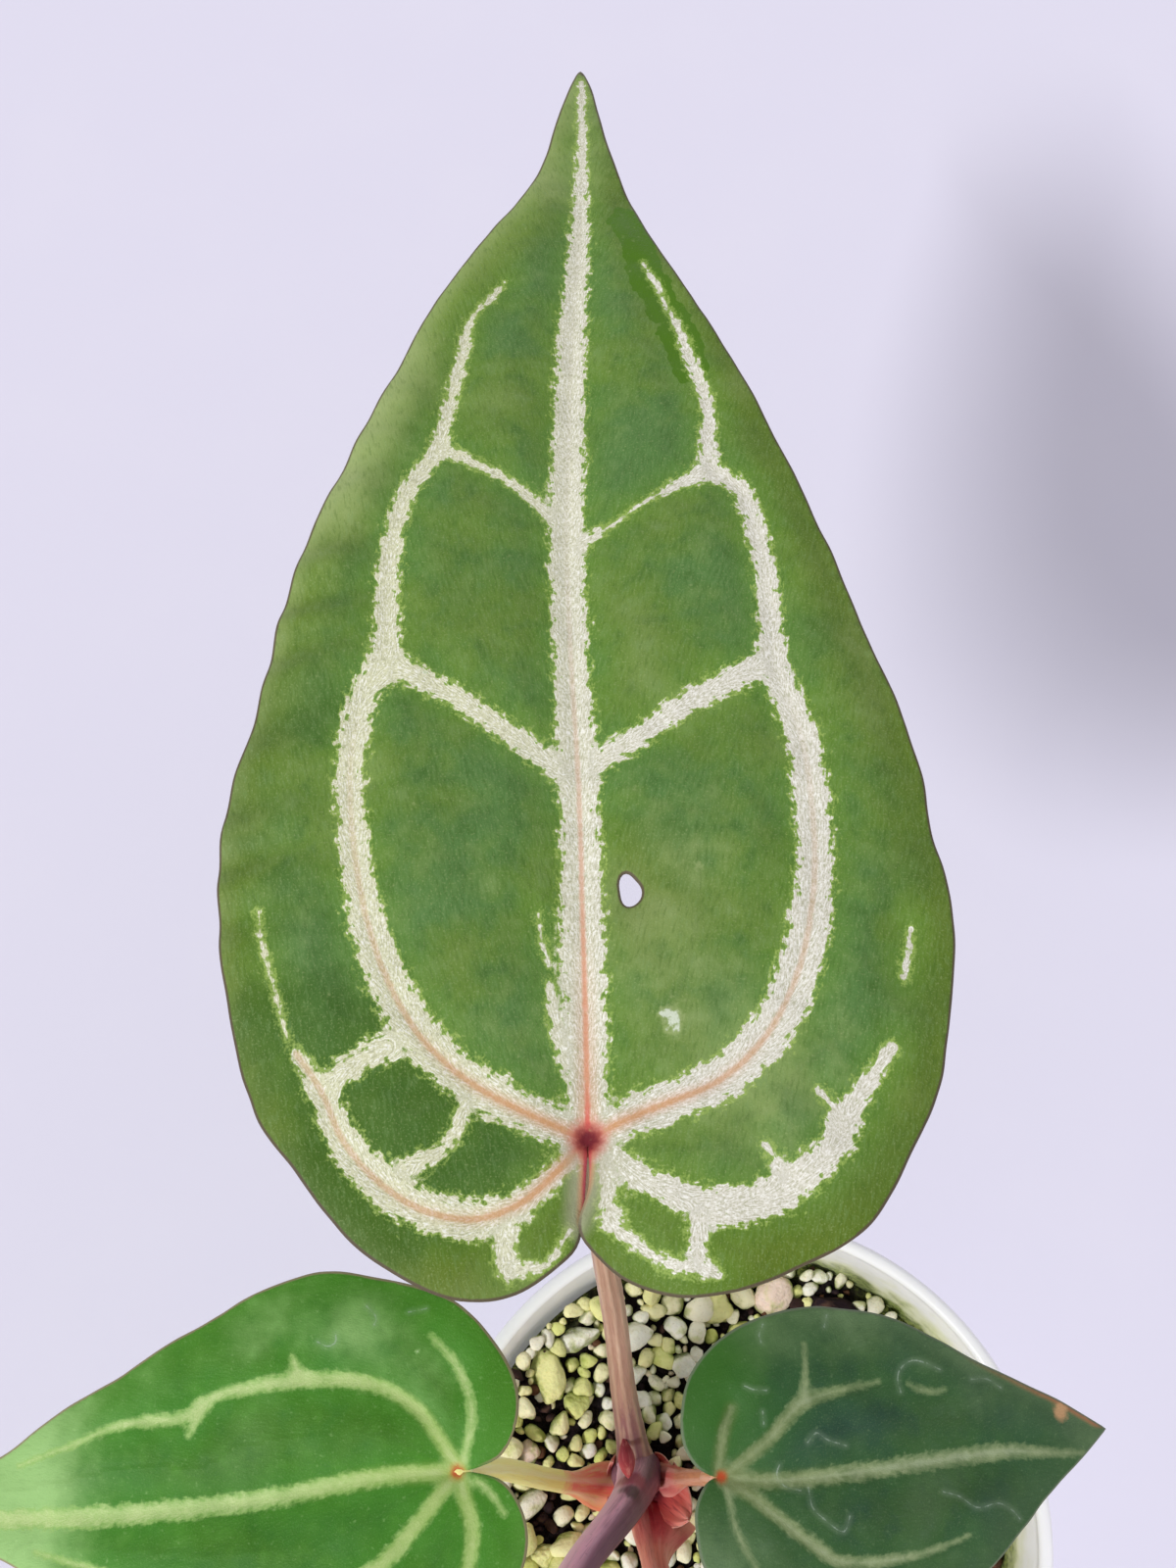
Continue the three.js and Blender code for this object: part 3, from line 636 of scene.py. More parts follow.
def make_blade(name, leaf, materials):
    """One leaf blade: a thin closed sheet, quilted between its sunken veins above and ribbed below."""
    blade, look = leaf["blade"], bpy.context.scene.anthurium_leaf
    loops = blade_loops(leaf)
    veins = {
        key: smooth(line, leaf["step"] * 0.8)
        for key, line in stretched(leaf["veins"], leaf["stretch"]).items()
    }
    seams = [line[:, :2] for line in veins.values()] + [smooth(s, 0.35) for s in leaf["scratches"]]
    flat, triangles = blade_mesh(loops, seams, leaf["step"])
    fields = vein_fields(leaf, flat, veins, loops)
    u, v = flat.T
    place = flat3(flat)
    rim_gap, edge = fields["rim_gap"], fields["vein_edge"]
    near_rim = 1 - ease(rim_gap, 0, 16)
    inner = ease(rim_gap, 0, 7) * ease(fields["foot_gap"], 2, 10)

    # Panels puff up between the veins, the margin waves, and the velvet is a little uneven
    relief = leaf["quilt"] * look.quilting * ease(edge, -0.5, 7) * inner
    relief -= MIDRIB_SINK * np.exp(-(fields["rib_gap"] / 1.1) ** 2) * ease(blade.length - u, 10, 60)
    relief -= SIDE_SINK * np.exp(-(fields["side_gap"] / 0.9) ** 2) * inner
    relief += 0.6 * rough(place, 15, leaf["seed"]) * ease(rim_gap, 0, 9)
    relief += 0.2 * rough(place, 5, leaf["seed"] + 1) * inner
    relief += MARGIN_WAVE * look.waviness * near_rim * rough(place, 15, leaf["seed"] + 2, 2)
    ripples = ease(rim_gap, 20, 2) * np.sin(u / 1.6 + 0.12 * v + 0.9 * np.sin(u / 6))
    ripples = leaf["ripples"] * (v > 0) * ripples * ease(u, 14, 34) * ease(blade.length - u, 78, 110)
    relief += ripples * ease(v, 24, 34)
    relief -= 0.9 * np.exp(-(fields["foot_gap"] / 3.5) ** 2)

    # The right lobe's inner margin lies over the left one's
    shift = leaf["overlap"] * np.exp(-((u + 12) / 4.2) ** 2) * (v <= 0) * ease(v, -9, 0)
    relief += (leaf["overlap"] > 0) * np.exp(-((u + 12) / 7) ** 2) * np.where(
        v <= 0, 0.75 * ease(v, -9, 0), -0.75 * (1 - ease(v, 0, 9))
    )

    thick = BLADE_HALF_THICK + 0.16 * ease(rim_gap, 0, 4)
    ribs = MIDRIB_RIB * np.exp(-(fields["rib_gap"] / 1.25) ** 2) * (1 - ease(u, 0.1 * blade.length, blade.length))
    ribs += SIDE_RIB * np.exp(-(fields["side_gap"] / 0.8) ** 2) * ease(blade.length - u, 0, 70)
    ribs *= ease(rim_gap, 0.4, 4)
    top = blade.place(u, v + shift, relief + thick)
    below = blade.place(u, v + shift, relief - thick - ribs)

    # A rounded rim joins the two faces
    border = open_edges(triangles)
    outward = {}
    for a, b in border:
        side = np.array([flat[b, 1] - flat[a, 1], flat[a, 0] - flat[b, 0]])
        for end in (a, b):
            outward[end] = outward.get(end, np.zeros(2)) + side
    ends = sorted(outward)
    turnout = np.array([outward[e] / max(np.linalg.norm(outward[e]), 1e-9) for e in ends]) * 0.16
    around = blade.place(u[ends] + turnout[:, 0], v[ends] + shift[ends] + turnout[:, 1], relief[ends])
    count = len(flat)
    rim = {end: 2 * count + i for i, end in enumerate(ends)}
    faces = triangles.tolist() + (triangles[:, ::-1] + count).tolist()
    for a, b in border:
        faces += [(b, a, rim[a], rim[b]), (rim[b], rim[a], a + count, b + count)]
    picks = [0] * len(triangles) + [1] * len(triangles) + [0] * (2 * len(border))
    values = {key: np.concatenate([data, data, data[ends]]) for key, data in fields.items()}
    values["leaf_place"] = np.vstack([place, place, place[ends]])
    make_piece(
        f"blade_{name}", np.vstack([top, below, around]), faces, materials,
        values, picks, [f"leaf_{name}"],
    )


# The tones of each velvet, and what shapes its bands: jag tears their edges, softness blurs them, cover is how much
# silver hides the green, line_reach is how far the coloured lines run in mm, star_size scales the red star at the
# stalk, sparkle brightens the silver's glitter, painted as glints and shade, and nap sharpens the green's papillae
# and the sheen painted over them. A pale tone paints sheen on the velvet, and a yellow green paints sunlight on its
# margin.
VELVETS = {
    "green": {
        "cool": "#567f3e", "warm": "#63842c", "deep": "#386010", "pale": "#7a9a5e", "olive": "#5c720c",
        "edge": "#66912c", "pale_sheen": "#a8b87a", "painted_sunlight": "#8fae50", "fringe": "#a4bf5e", "silver": "#e3e0d1",
        "silver_warm": "#dfe0bb", "shade": "#b0b190", "glint": "#fffff6", "line": "#dcae92", "line_end": "#a79c84",
        "side_line": "#cf955e", "star": "#741a26", "rays": "#d9544a", "glow": "#e0936c", "rim": "#5b463f", "jag": 1.0,
        "line_reach": 115.0, "sparkle": 1.0, "star_size": 1.0, "softness": 0.14, "nap": 1.0, "cover": 1.0,
    },
    "bright": {
        "cool": "#3d7c1f", "warm": "#417812", "deep": "#2c6812", "pale": "#5c9c38", "olive": "#4c8c20",
        "edge": "#479020", "pale_sheen": "#aad486", "painted_sunlight": "#5c9c38", "fringe": "#6fae38", "silver": "#bdd48c",
        "silver_warm": "#bdd48c", "shade": "#9cc466", "glint": "#d2e4a4", "line": "#c4d694", "line_end": "#bdd48c",
        "side_line": "#c4d694", "star": "#c8562f", "rays": "#c9903e", "glow": "#a9c060", "rim": "#9a8a6c", "jag": 0.5,
        "line_reach": 8.0, "sparkle": 0.45, "star_size": 0.5, "softness": 0.75, "nap": 0.35, "cover": 0.7,
    },
    "dark": {
        "cool": "#284b38", "warm": "#335728", "deep": "#1f4025", "pale": "#436248", "olive": "#48693a",
        "edge": "#33602c", "pale_sheen": "#86a074", "painted_sunlight": "#3f6a38", "fringe": "#4f7040", "silver": "#8f9f72",
        "silver_warm": "#899a6c", "shade": "#7b8f60", "glint": "#a3af87", "line": "#93a074", "line_end": "#8f9d72",
        "side_line": "#8b996c", "star": "#c04a22", "rays": "#b0602c", "glow": "#6f7a42", "rim": "#6f7c62", "jag": 0.5,
        "line_reach": 6.0, "sparkle": 0.4, "star_size": 0.42, "softness": 0.6, "nap": 0.5, "cover": 0.55,
    },
}


def velvet_leaf(kind):
    """Living leaf covered in microscopic velvet papillae, as it grew.

    The papillae give a soft sheen and no gloss. Over the veins the skin stands off the green tissue, so the bands
    glitter silver-white, with feathery edges that let the green through.
    """
    tone = VELVETS[kind]
    jag, sparkle, reach = tone["jag"], tone["sparkle"], tone["line_reach"]
    material, add = new_material(
        f"velvet_leaf_{kind}", Roughness=0.6, Specular_IOR_Level=0.3, Sheen_Weight=0.15, Sheen_Roughness=0.4,
        Sheen_Tint=linear("#d4e0b0"),
    )
    place = add("ShaderNodeAttribute", out="Vector", attribute_name="leaf_place")
    edge, half, run, rib_gap, side_gap, foot_gap, rim_gap, scratch_gap, slit_gap, wet, scar, sheen_and_shade = [
        add("ShaderNodeAttribute", out="Fac", attribute_name=key)
        for key in (
            "vein_edge", "vein_half", "vein_run", "rib_gap", "side_gap", "foot_gap", "rim_gap", "scratch_gap",
            "slit_gap", "wet", "scar", "sheen_and_shade",
        )
    ]
    along, across = [add("ShaderNodeSeparateXYZ", {0: place}, out=axis) for axis in "XY"]

    # Noise with grains of 22 mm, 4 mm, 2.4 mm and 0.9 mm, and papillae, which are too fine to see, drawn at 0.3 mm
    clouds, mottle, waves, cells, nap = [
        add("ShaderNodeTexNoise", {"Vector": place, "Scale": 1 / size, "Detail": detail}, out="Fac")
        for size, detail in ((22, 2), (4, 3), (2.4, 2), (0.9, 3), (0.3, 2))
    ]

    # Rows of papillae slant outwards from the midrib, and from each band's middle, as strands about 3 mm long
    outwards = add("ShaderNodeMath", {0: across}, operation="ABSOLUTE")
    centre_gap = add("ShaderNodeMath", {0: edge, 1: half}, operation="ADD")
    strand_places = []
    for forward, aside in ((along, outwards), (run, centre_gap)):
        turned_place = [
            add(
                "ShaderNodeMath",
                {0: aside, 1: slant, 2: add("ShaderNodeMath", {0: forward, 1: pace}, operation="MULTIPLY")},
                operation="MULTIPLY_ADD",
            )
            for pace, slant in ((-0.5, 2.1), (0.42, 0.25))
        ]
        strand_places.append(add("ShaderNodeCombineXYZ", dict(zip("XY", turned_place))))
    strands, tufts, glitter = [
        add("ShaderNodeTexNoise", {"Vector": strand_places[i], "Scale": scale, "Detail": 3}, out="Fac")
        for i, scale in ((0, 1.1), (1, 0.9), (1, 2.4))
    ]

    # The bands' edges are torn by tufts, waves and cells, less so on thin bands
    torn = edge
    slimness = add(
        "ShaderNodeMapRange", {"Value": half, "From Min": 0.15, "From Max": 1.8, "To Min": 0.45 * jag, "To Max": jag},
    )
    for grain, amount in ((tufts, -2.6), (waves, -2.4), (cells, -3.2)):
        centred = add("ShaderNodeMath", {0: grain, 1: 0.5}, operation="SUBTRACT")
        centred = add("ShaderNodeMath", {0: centred, 1: amount}, operation="MULTIPLY")
        torn = add("ShaderNodeMath", {0: centred, 1: slimness, 2: torn}, operation="MULTIPLY_ADD")
    fringed = add("ShaderNodeMath", {0: nap, 1: -1.8 * jag, 2: torn}, operation="MULTIPLY_ADD")

    # Green tissue, cooler and yellower in turn. Over it lie painted pale sheen where the light catches the velvet,
    # painted shade in spots where it does not, painted sheen along the rim, and painted sunlight on the left margin
    # towards the tip.
    mixed = add("ShaderNodeMix", {"Factor": 0.3, "A": clouds, "B": mottle})
    mottled_sheen_and_shade = add("ShaderNodeMath", {0: mottle, 1: 0.5, 2: sheen_and_shade}, operation="MULTIPLY_ADD")
    ragged_wet = add("ShaderNodeMath", {0: waves, 1: 1.2, 2: wet}, operation="MULTIPLY_ADD")
    ragged_scar = add("ShaderNodeMath", {0: cells, 1: 1.6, 2: scar}, operation="MULTIPLY_ADD")
    rim_clouded = add("ShaderNodeMath", {0: clouds, 1: 10, 2: rim_gap}, operation="MULTIPLY_ADD")
    rim_sheen, upper = [
        add("ShaderNodeMapRange", {"Value": along, "From Min": near, "From Max": far, "To Min": low, "To Max": high})
        for near, far, low, high in ((10, 100, 0.06, 0.4), (60, 115, 0, 0.7))
    ]
    rim_sheen, painted_sunlight = [
        add("ShaderNodeMapRange", {"Value": across, "From Min": -4, "From Max": 10, "To Max": most})
        for most in (rim_sheen, upper)
    ]
    green = layered(add, linear(tone["cool"]), [
        (mixed, 0.4, 0.6, 1, tone["warm"]),
        (mottle, 0.5, 0.75, 0.35, tone["pale"]),
        (mottle, 0.45, 0.25, 0.45, tone["deep"]),
        (rim_clouded, 17, 5, 0.6, tone["olive"]),
        # painted sunlight on the left margin towards the tip
        (rim_clouded, 15, 4, painted_sunlight, tone["painted_sunlight"]),
        (along, 2, -16, 0.65, tone["olive"]),
        (edge, 5, 0.4, 0.4, tone["edge"]),
        (clouds, 0.54, 0.8, 0.3 * tone["nap"], tone["pale_sheen"]),
        (mottled_sheen_and_shade, 0.35, 1.25, 0.75, tone["pale_sheen"]),
        (mottled_sheen_and_shade, 0.15, -0.45, 0.7, tone["deep"]),
        # painted sheen along the rim, stronger on the left and towards the tip
        (rim_gap, 3.2, 0.2, rim_sheen, tone["pale_sheen"]),
        (strands, 0.5, 0.7, 0.26 * tone["nap"], tone["pale"]),
        (strands, 0.5, 0.3, 0.32 * tone["nap"], tone["deep"]),
        (nap, 0.54, 0.72, 0.28 * tone["nap"], tone["pale_sheen"]),
        (ragged_wet, 1.12, 1.2, 0.95, WET_GREEN),
    ])

    # Silver bands: glittering strands, warmer on the leaf's left
    silver = layered(add, linear(tone["silver"]), [
        (across, -12, 18, 1, tone["silver_warm"]),
        (foot_gap, 0.14 * reach, 0.03 * reach, 0.4, tone["shade"]),
        (glitter, 0.5, 0.38, 0.65 * sparkle, tone["shade"]),
        (glitter, 0.54, 0.62, 0.8 * sparkle, tone["glint"]),
        (nap, 0.56, 0.66, 0.6 * sparkle, tone["glint"]),
        (nap, 0.46, 0.38, 0.35 * sparkle, tone["shade"]),
    ])

    # Coloured lines over the main veins, red at the stalk and fading outwards
    rib, side = [
        add("ShaderNodeMath", {0: cells, 1: 0.4, 2: gap}, operation="MULTIPLY_ADD") for gap in (rib_gap, side_gap)
    ]
    rib_fade, side_fade, glow_fade = [
        add("ShaderNodeMapRange", {"Value": foot_gap, "From Min": near, "From Max": far, "To Min": top, "To Max": last})
        for near, far, top, last in (
            (0.25 * reach, 0.75 * reach, 0.75, 0.08), (0.1 * reach, 0.6 * reach, 0.7, 0), (4, 30, 0.4, 0),
        )
    ]
    line_colour = layered(add, linear(tone["rays"]), [
        (foot_gap, 0.02 * reach, 0.07 * reach, 1, tone["glow"]),
        (foot_gap, 0.12 * reach, 0.45 * reach, 1, tone["line"]),
        (foot_gap, 0.35 * reach, 1.1 * reach, 1, tone["line_end"]),
    ])
    star = add("ShaderNodeMath", {0: foot_gap, 1: 1 / tone["star_size"]}, operation="MULTIPLY")
    star = add("ShaderNodeMath", {0: cells, 1: 1.2, 2: star}, operation="MULTIPLY_ADD")
    scratch = add("ShaderNodeMath", {0: nap, 1: 0.3, 2: scratch_gap}, operation="MULTIPLY_ADD")
    off_slit = add("ShaderNodeMapRange", {"Value": slit_gap, "From Min": 0.6, "From Max": 1.8, "To Max": 0.85})
    cover = add("ShaderNodeMapRange", {"Value": mottle, "From Min": 0.35, "From Max": 0.6, "To Min": tone["cover"]})

    # The dark leaf's bands have brighter cores, and the green leaves redden along the slit between their lobes
    band_core, slit_haze, slit_red, burnt_tip = [], [], [], []
    if kind == "dark":
        band_core = [(torn, -0.3, -1.3, 0.55, "#b3c09c")]
    if kind == "green":
        slit_haze = [(slit_gap, 3.8, 1.2, 0.6, "#b9b49c")]
        slit_red = [(slit_gap, 1.5, 0.5, 0.6, tone["glow"]), (slit_gap, 0.8, 0.3, 0.9, "#c4485a")]

    # The dark leaf is sunlit green by the stalk, and its tip is burnt brown along the upper margin and in one spot
    if kind == "dark":
        lobe_light = add("ShaderNodeMapRange", {"Value": across, "From Min": -6, "From Max": 8, "To Max": 0.7})
        green = layered(add, green, [(along, 17, 0, lobe_light, "#326c0e")])
        outer = add("ShaderNodeMath", {0: along, 1: across}, operation="ADD")
        upper_side = add("ShaderNodeMapRange", {"Value": across, "From Min": 0, "From Max": 0.8, "To Max": 0.85})
        burnt = add("ShaderNodeMapRange", {"Value": outer, "From Min": 54, "From Max": 62, "To Max": upper_side})
        spot = add("ShaderNodeVectorMath", {0: place, 1: BURNT_SPOT}, out="Value", operation="DISTANCE")
        spot = add("ShaderNodeMath", {0: cells, 1: 1.4, 2: spot}, operation="MULTIPLY_ADD")
        burnt_tip = [(rim_gap, 1.2, 0.2, burnt, "#b97a52"), (spot, 2.7, 1.4, 0.85, "#d9a878")]
    colour = layered(add, green, [
        (fringed, 0, -0.9 * jag, 0.7, tone["fringe"]),
        (torn, tone["softness"], -tone["softness"], cover, silver),
        *band_core,
        (side, 1.9, 0.6, glow_fade, tone["glow"]),
        (side, 0.9, 0.35, side_fade, tone["side_line"]),
        *slit_haze,
        (rib, 2.4, 0.6, glow_fade, tone["glow"]),
        (rib, 0.82, 0.3, rib_fade, line_colour),
        *slit_red,
        (star, 4.3, 1.7, 0.75, tone["rays"]),
        (star, 3.1, 1.3, 1, tone["star"]),
        (scratch, 1.1, 0.2, 0.1, "#b4c6ae"),
        (scratch, 0.34, 0.14, 0.4, "#b9cabb"),
        # Scars are paler, with a painted highlight in their middles
        (ragged_scar, 0.95, 1.5, 0.55, tone["pale_sheen"]),
        (ragged_scar, 1.45, 1.75, 0.75, "#e6eedd"),
        *burnt_tip,
        (rim_gap, 0.34, 0.08, off_slit, tone["rim"]),
    ])

    # Papillae stand off the surface, and the strands they form a little more
    height = nap
    for grain, amount in ((strands, 0.9), (mottle, 1.8), (glitter, 0.8)):
        height = add("ShaderNodeMath", {0: grain, 1: amount, 2: height}, operation="MULTIPLY_ADD")
    bump = add("ShaderNodeBump", {"Height": height, "Strength": 0.4, "Distance": 0.14 * MM})
    glossy = add("ShaderNodeMath", {0: wet, 1: scar}, operation="MAXIMUM")
    gloss = add("ShaderNodeMapRange", {"Value": glossy, "To Min": 0.6, "To Max": 0.32})
    return finish_material(material, colour, gloss, bump)


UNDERSIDES = {
    "green": {"flesh": "#86a06a", "deep": "#71905a", "vein": "#a9b987"},
    "bright": {"flesh": "#84ad68", "deep": "#6f9d55", "vein": "#acc98a"},
    "dark": {"flesh": "#6f8a66", "deep": "#5d7a56", "vein": "#93a585"},
}


def leaf_underside(kind):
    """The same leaf's lower skin: smooth, dull and paler, with raised veins that redden towards the stalk."""
    tone = UNDERSIDES[kind]
    material, add = new_material(f"leaf_underside_{kind}", Roughness=0.5, Specular_IOR_Level=0.38)
    place = add("ShaderNodeAttribute", out="Vector", attribute_name="leaf_place")
    edge, rib_gap, side_gap, foot_gap, rim_gap = [
        add("ShaderNodeAttribute", out="Fac", attribute_name=key)
        for key in ("vein_edge", "rib_gap", "side_gap", "foot_gap", "rim_gap")
    ]
    # Clouds of 9 mm, and a net of veinlets 2.2 mm apart
    clouds = add("ShaderNodeTexNoise", {"Vector": place, "Scale": 1 / 9, "Detail": 3}, out="Fac")
    net = add("ShaderNodeTexVoronoi", {"Vector": place, "Scale": 1 / 2.2}, out="Distance", feature="DISTANCE_TO_EDGE")
    rib = layered(add, linear("#b3bd86"), [(foot_gap, 55, 3, 0.85, "#a9604f")])
    colour = layered(add, linear(tone["flesh"]), [
        (clouds, 0.35, 0.7, 1, tone["deep"]),
        (net, 0.12, 0.02, 0.4, tone["vein"]),
        (edge, 0.6, -1.2, 0.6, tone["vein"]),
        (side_gap, 1, 0.5, 0.8, rib),
        (rib_gap, 1.5, 0.8, 1, rib),
        (rim_gap, 0.5, 0.1, 0.6, "#6c5a48"),
    ])
    bump = add("ShaderNodeBump", {"Height": net, "Strength": 0.3, "Distance": 0.15 * MM}, invert=True)
    return finish_material(material, colour, bump=bump)


# Stalks


# Each stalk runs from the crown to the underside of its blade. radii are at its foot and top. wings widen the foot to
# its left and right, seen from its upper side, and reach is how far up they run. ridges and ridge are how many ridges
# run up it and how high they stand. Its tones change at the turns of its length, and flanks is how strongly one side
# is painted lit and the other painted in shade. The lit tone also paints highlights on the ridges, and the darker
# streak tone paints the shaded side.
PLAIN_STALK = {"ridges": 5, "ridge": 0.03, "flanks": 0.15, "turns": (0.08, 0.2, 0.29, 1)}
STALKS = {
    "main": {
        **PLAIN_STALK, "slot": "petiole_skin_tan", "ridges": 8, "ridge": 0.035,
        "line": [[-17.4, 10.6, 76.5], [-18.3, 15.4, 86], [-19.8, 22.8, 103], [-21.5, 33.2, 127], [-23.3, 41.5, 146]],
        "radii": [3.1, 1.8], "wings": [0.3, 0.5], "reach": 9,
        "tones": ["#7c5060", "#9a6a6e", "#b78b7a", "#bd9475"],
        "lit": "#e6c7a8", "wing": "#c9a08a", "streak_and_shade": "#8a5e42",
    },
    "left": {
        **PLAIN_STALK, "slot": "petiole_skin_lime", "turns": (0.12, 0.32, 0.4, 1),
        "line": [[-19, 6.6, 74.5], [-24, 6.95, 77.4], [-32.2, 8.9, 96], [-40, 11.2, 113]],
        "radii": [2.3, 1.8], "wings": [2.2, 2.2], "reach": 17,
        "tones": ["#ff7068", "#ff8476", "#fff28c", "#fff69c"],
        "lit": "#fffad0", "wing": "#ff8a78", "streak_and_shade": "#f2de7c",
    },
    "right": {
        **PLAIN_STALK, "slot": "petiole_skin_salmon",
        "line": [[-13, 8.4, 76.4], [-10, 8.8, 86], [-8.2, 9.3, 97], [-6.4, 9.8, 109]],
        "radii": [1.9, 1.3], "wings": [0.6, 1.7], "reach": 15,
        "tones": ["#c24a50", "#e0746a", "#dd8e6c", "#cf9662"],
        "lit": "#f7cabc", "wing": "#f2a896", "streak_and_shade": "#a84a40",
    },
    "front_left": {
        **PLAIN_STALK, "slot": "petiole_skin_mauve", "ridges": 4, "flanks": 0.85,
        "line": [[-16.9, 9.6, 78], [-17.4, 7.6, 86], [-20.4, 3.8, 99], [-27.4, -3.6, 113], [-36, -17, 130]],
        "radii": [4.1, 2.5], "wings": [0, 0], "reach": 10,
        "tones": ["#84566c", "#bc8098", "#eaa2c0", "#e4a4ae"],
        "lit": "#ffccde", "wing": "#c89aae", "streak_and_shade": "#5a3448",
    },
    "front_right": {
        **PLAIN_STALK, "slot": "petiole_skin_red", "ridge": 0.04, "flanks": 0.2,
        "line": [[-15.2, 2.8, 75], [-14.8, -1, 84], [-14.4, -5.6, 96], [-11.6, -16, 110]],
        "radii": [2.9, 2.1], "wings": [5.4, 0.6], "reach": 21,
        "tones": ["#ac3040", "#d85c62", "#e58474", "#d99878"],
        "lit": "#f9c0b0", "wing": "#ee9484", "streak_and_shade": "#9c2c3e",
    },
}
# Where the stalks part at the crown: a crimson stain, and painted shade in the hollow in front of it, in metres
CLEFTS = [(-0.0186, 0.0096, 0.0935), (-0.0184, 0.0074, 0.098)]
STALK_SIDES = 44
STALK_STEP = 0.8


def stalk_skin(name, stalk):
    """Living stalk: a taut waxy skin over ridged fibres, which gives long soft streaks and a low gloss."""
    material, add = new_material(
        f"stalk_skin_{name}", Roughness=0.42, Specular_IOR_Level=0.42, Subsurface_Weight=0.15,
        Subsurface_Radius=(1.2, 0.5, 0.35), Subsurface_Scale=0.8 * MM,
    )
    place = add("ShaderNodeAttribute", out="Vector", attribute_name="stalk_place")
    share, ridge, wing = [
        add("ShaderNodeAttribute", out="Fac", attribute_name=key) for key in ("stalk_share", "ridge", "wing")
    ]
    # Streaks 0.6 mm and fibres 0.2 mm wide, drawn out along the stalk, and specks of 0.7 mm
    drawn = add("ShaderNodeVectorMath", {0: place, 1: (1, 1, 0.06)}, operation="MULTIPLY")
    streaks, fibres, specks = [
        add("ShaderNodeTexNoise", {"Vector": where, "Scale": scale, "Detail": detail}, out="Fac")
        for where, scale, detail in ((drawn, 1.6, 4), (drawn, 5.5, 2), (place, 1 / 0.7, 3))
    ]
    shifted = add("ShaderNodeMath", {0: specks, 1: 0.12, 2: share}, operation="MULTIPLY_ADD")
    shifted = add("ShaderNodeMath", {0: shifted, 1: 0.06}, operation="SUBTRACT")
    base = add("ShaderNodeValToRGB", {"Fac": shifted}, stops=list(zip(stalk["turns"], stalk["tones"])))
    flank = add("ShaderNodeSeparateXYZ", {0: place}, out="X")
    spot = add("ShaderNodeTexCoord", out="Object")
    stain_and_shade = []
    for centre in CLEFTS:
        gap = add("ShaderNodeVectorMath", {0: spot, 1: centre}, out="Value", operation="DISTANCE")
        stain_and_shade.append(add("ShaderNodeMath", {0: streaks, 1: 2.4 * MM, 2: gap}, operation="MULTIPLY_ADD"))
    # Ridge tops get a painted highlight, and one flank painted light and the other painted shade
    colour = layered(add, base, [
        (ridge, 0.3, 1, 0.35, stalk["lit"]),
        (streaks, 0.5, 0.8, 0.5, stalk["streak_and_shade"]),
        (streaks, 0.48, 0.25, 0.45, stalk["lit"]),
        (fibres, 0.5, 0.75, 0.35, stalk["streak_and_shade"]),
        (wing, 0.5, 1, 0.75, stalk["wing"]),
        (specks, 0.66, 0.74, 0.3, stalk["streak_and_shade"]),
        (flank, -0.4, 2.2, stalk["flanks"], stalk["lit"]),
        (flank, 0, -2, stalk["flanks"], stalk["streak_and_shade"]),
        # a crimson stain at the cleft, and painted shade in the hollow in front of it
        (stain_and_shade[0], 5.4 * MM, 3 * MM, 0.8, "#a03450"),
        (stain_and_shade[1], 4.2 * MM, 2.4 * MM, 0.85, "#3d1a2a"),
    ])
    height = add("ShaderNodeMath", {0: streaks, 1: 2.0, 2: fibres}, operation="MULTIPLY_ADD")
    bump = add("ShaderNodeBump", {"Height": height, "Strength": 0.4, "Distance": 0.15 * MM})
    return finish_material(material, colour, bump=bump)


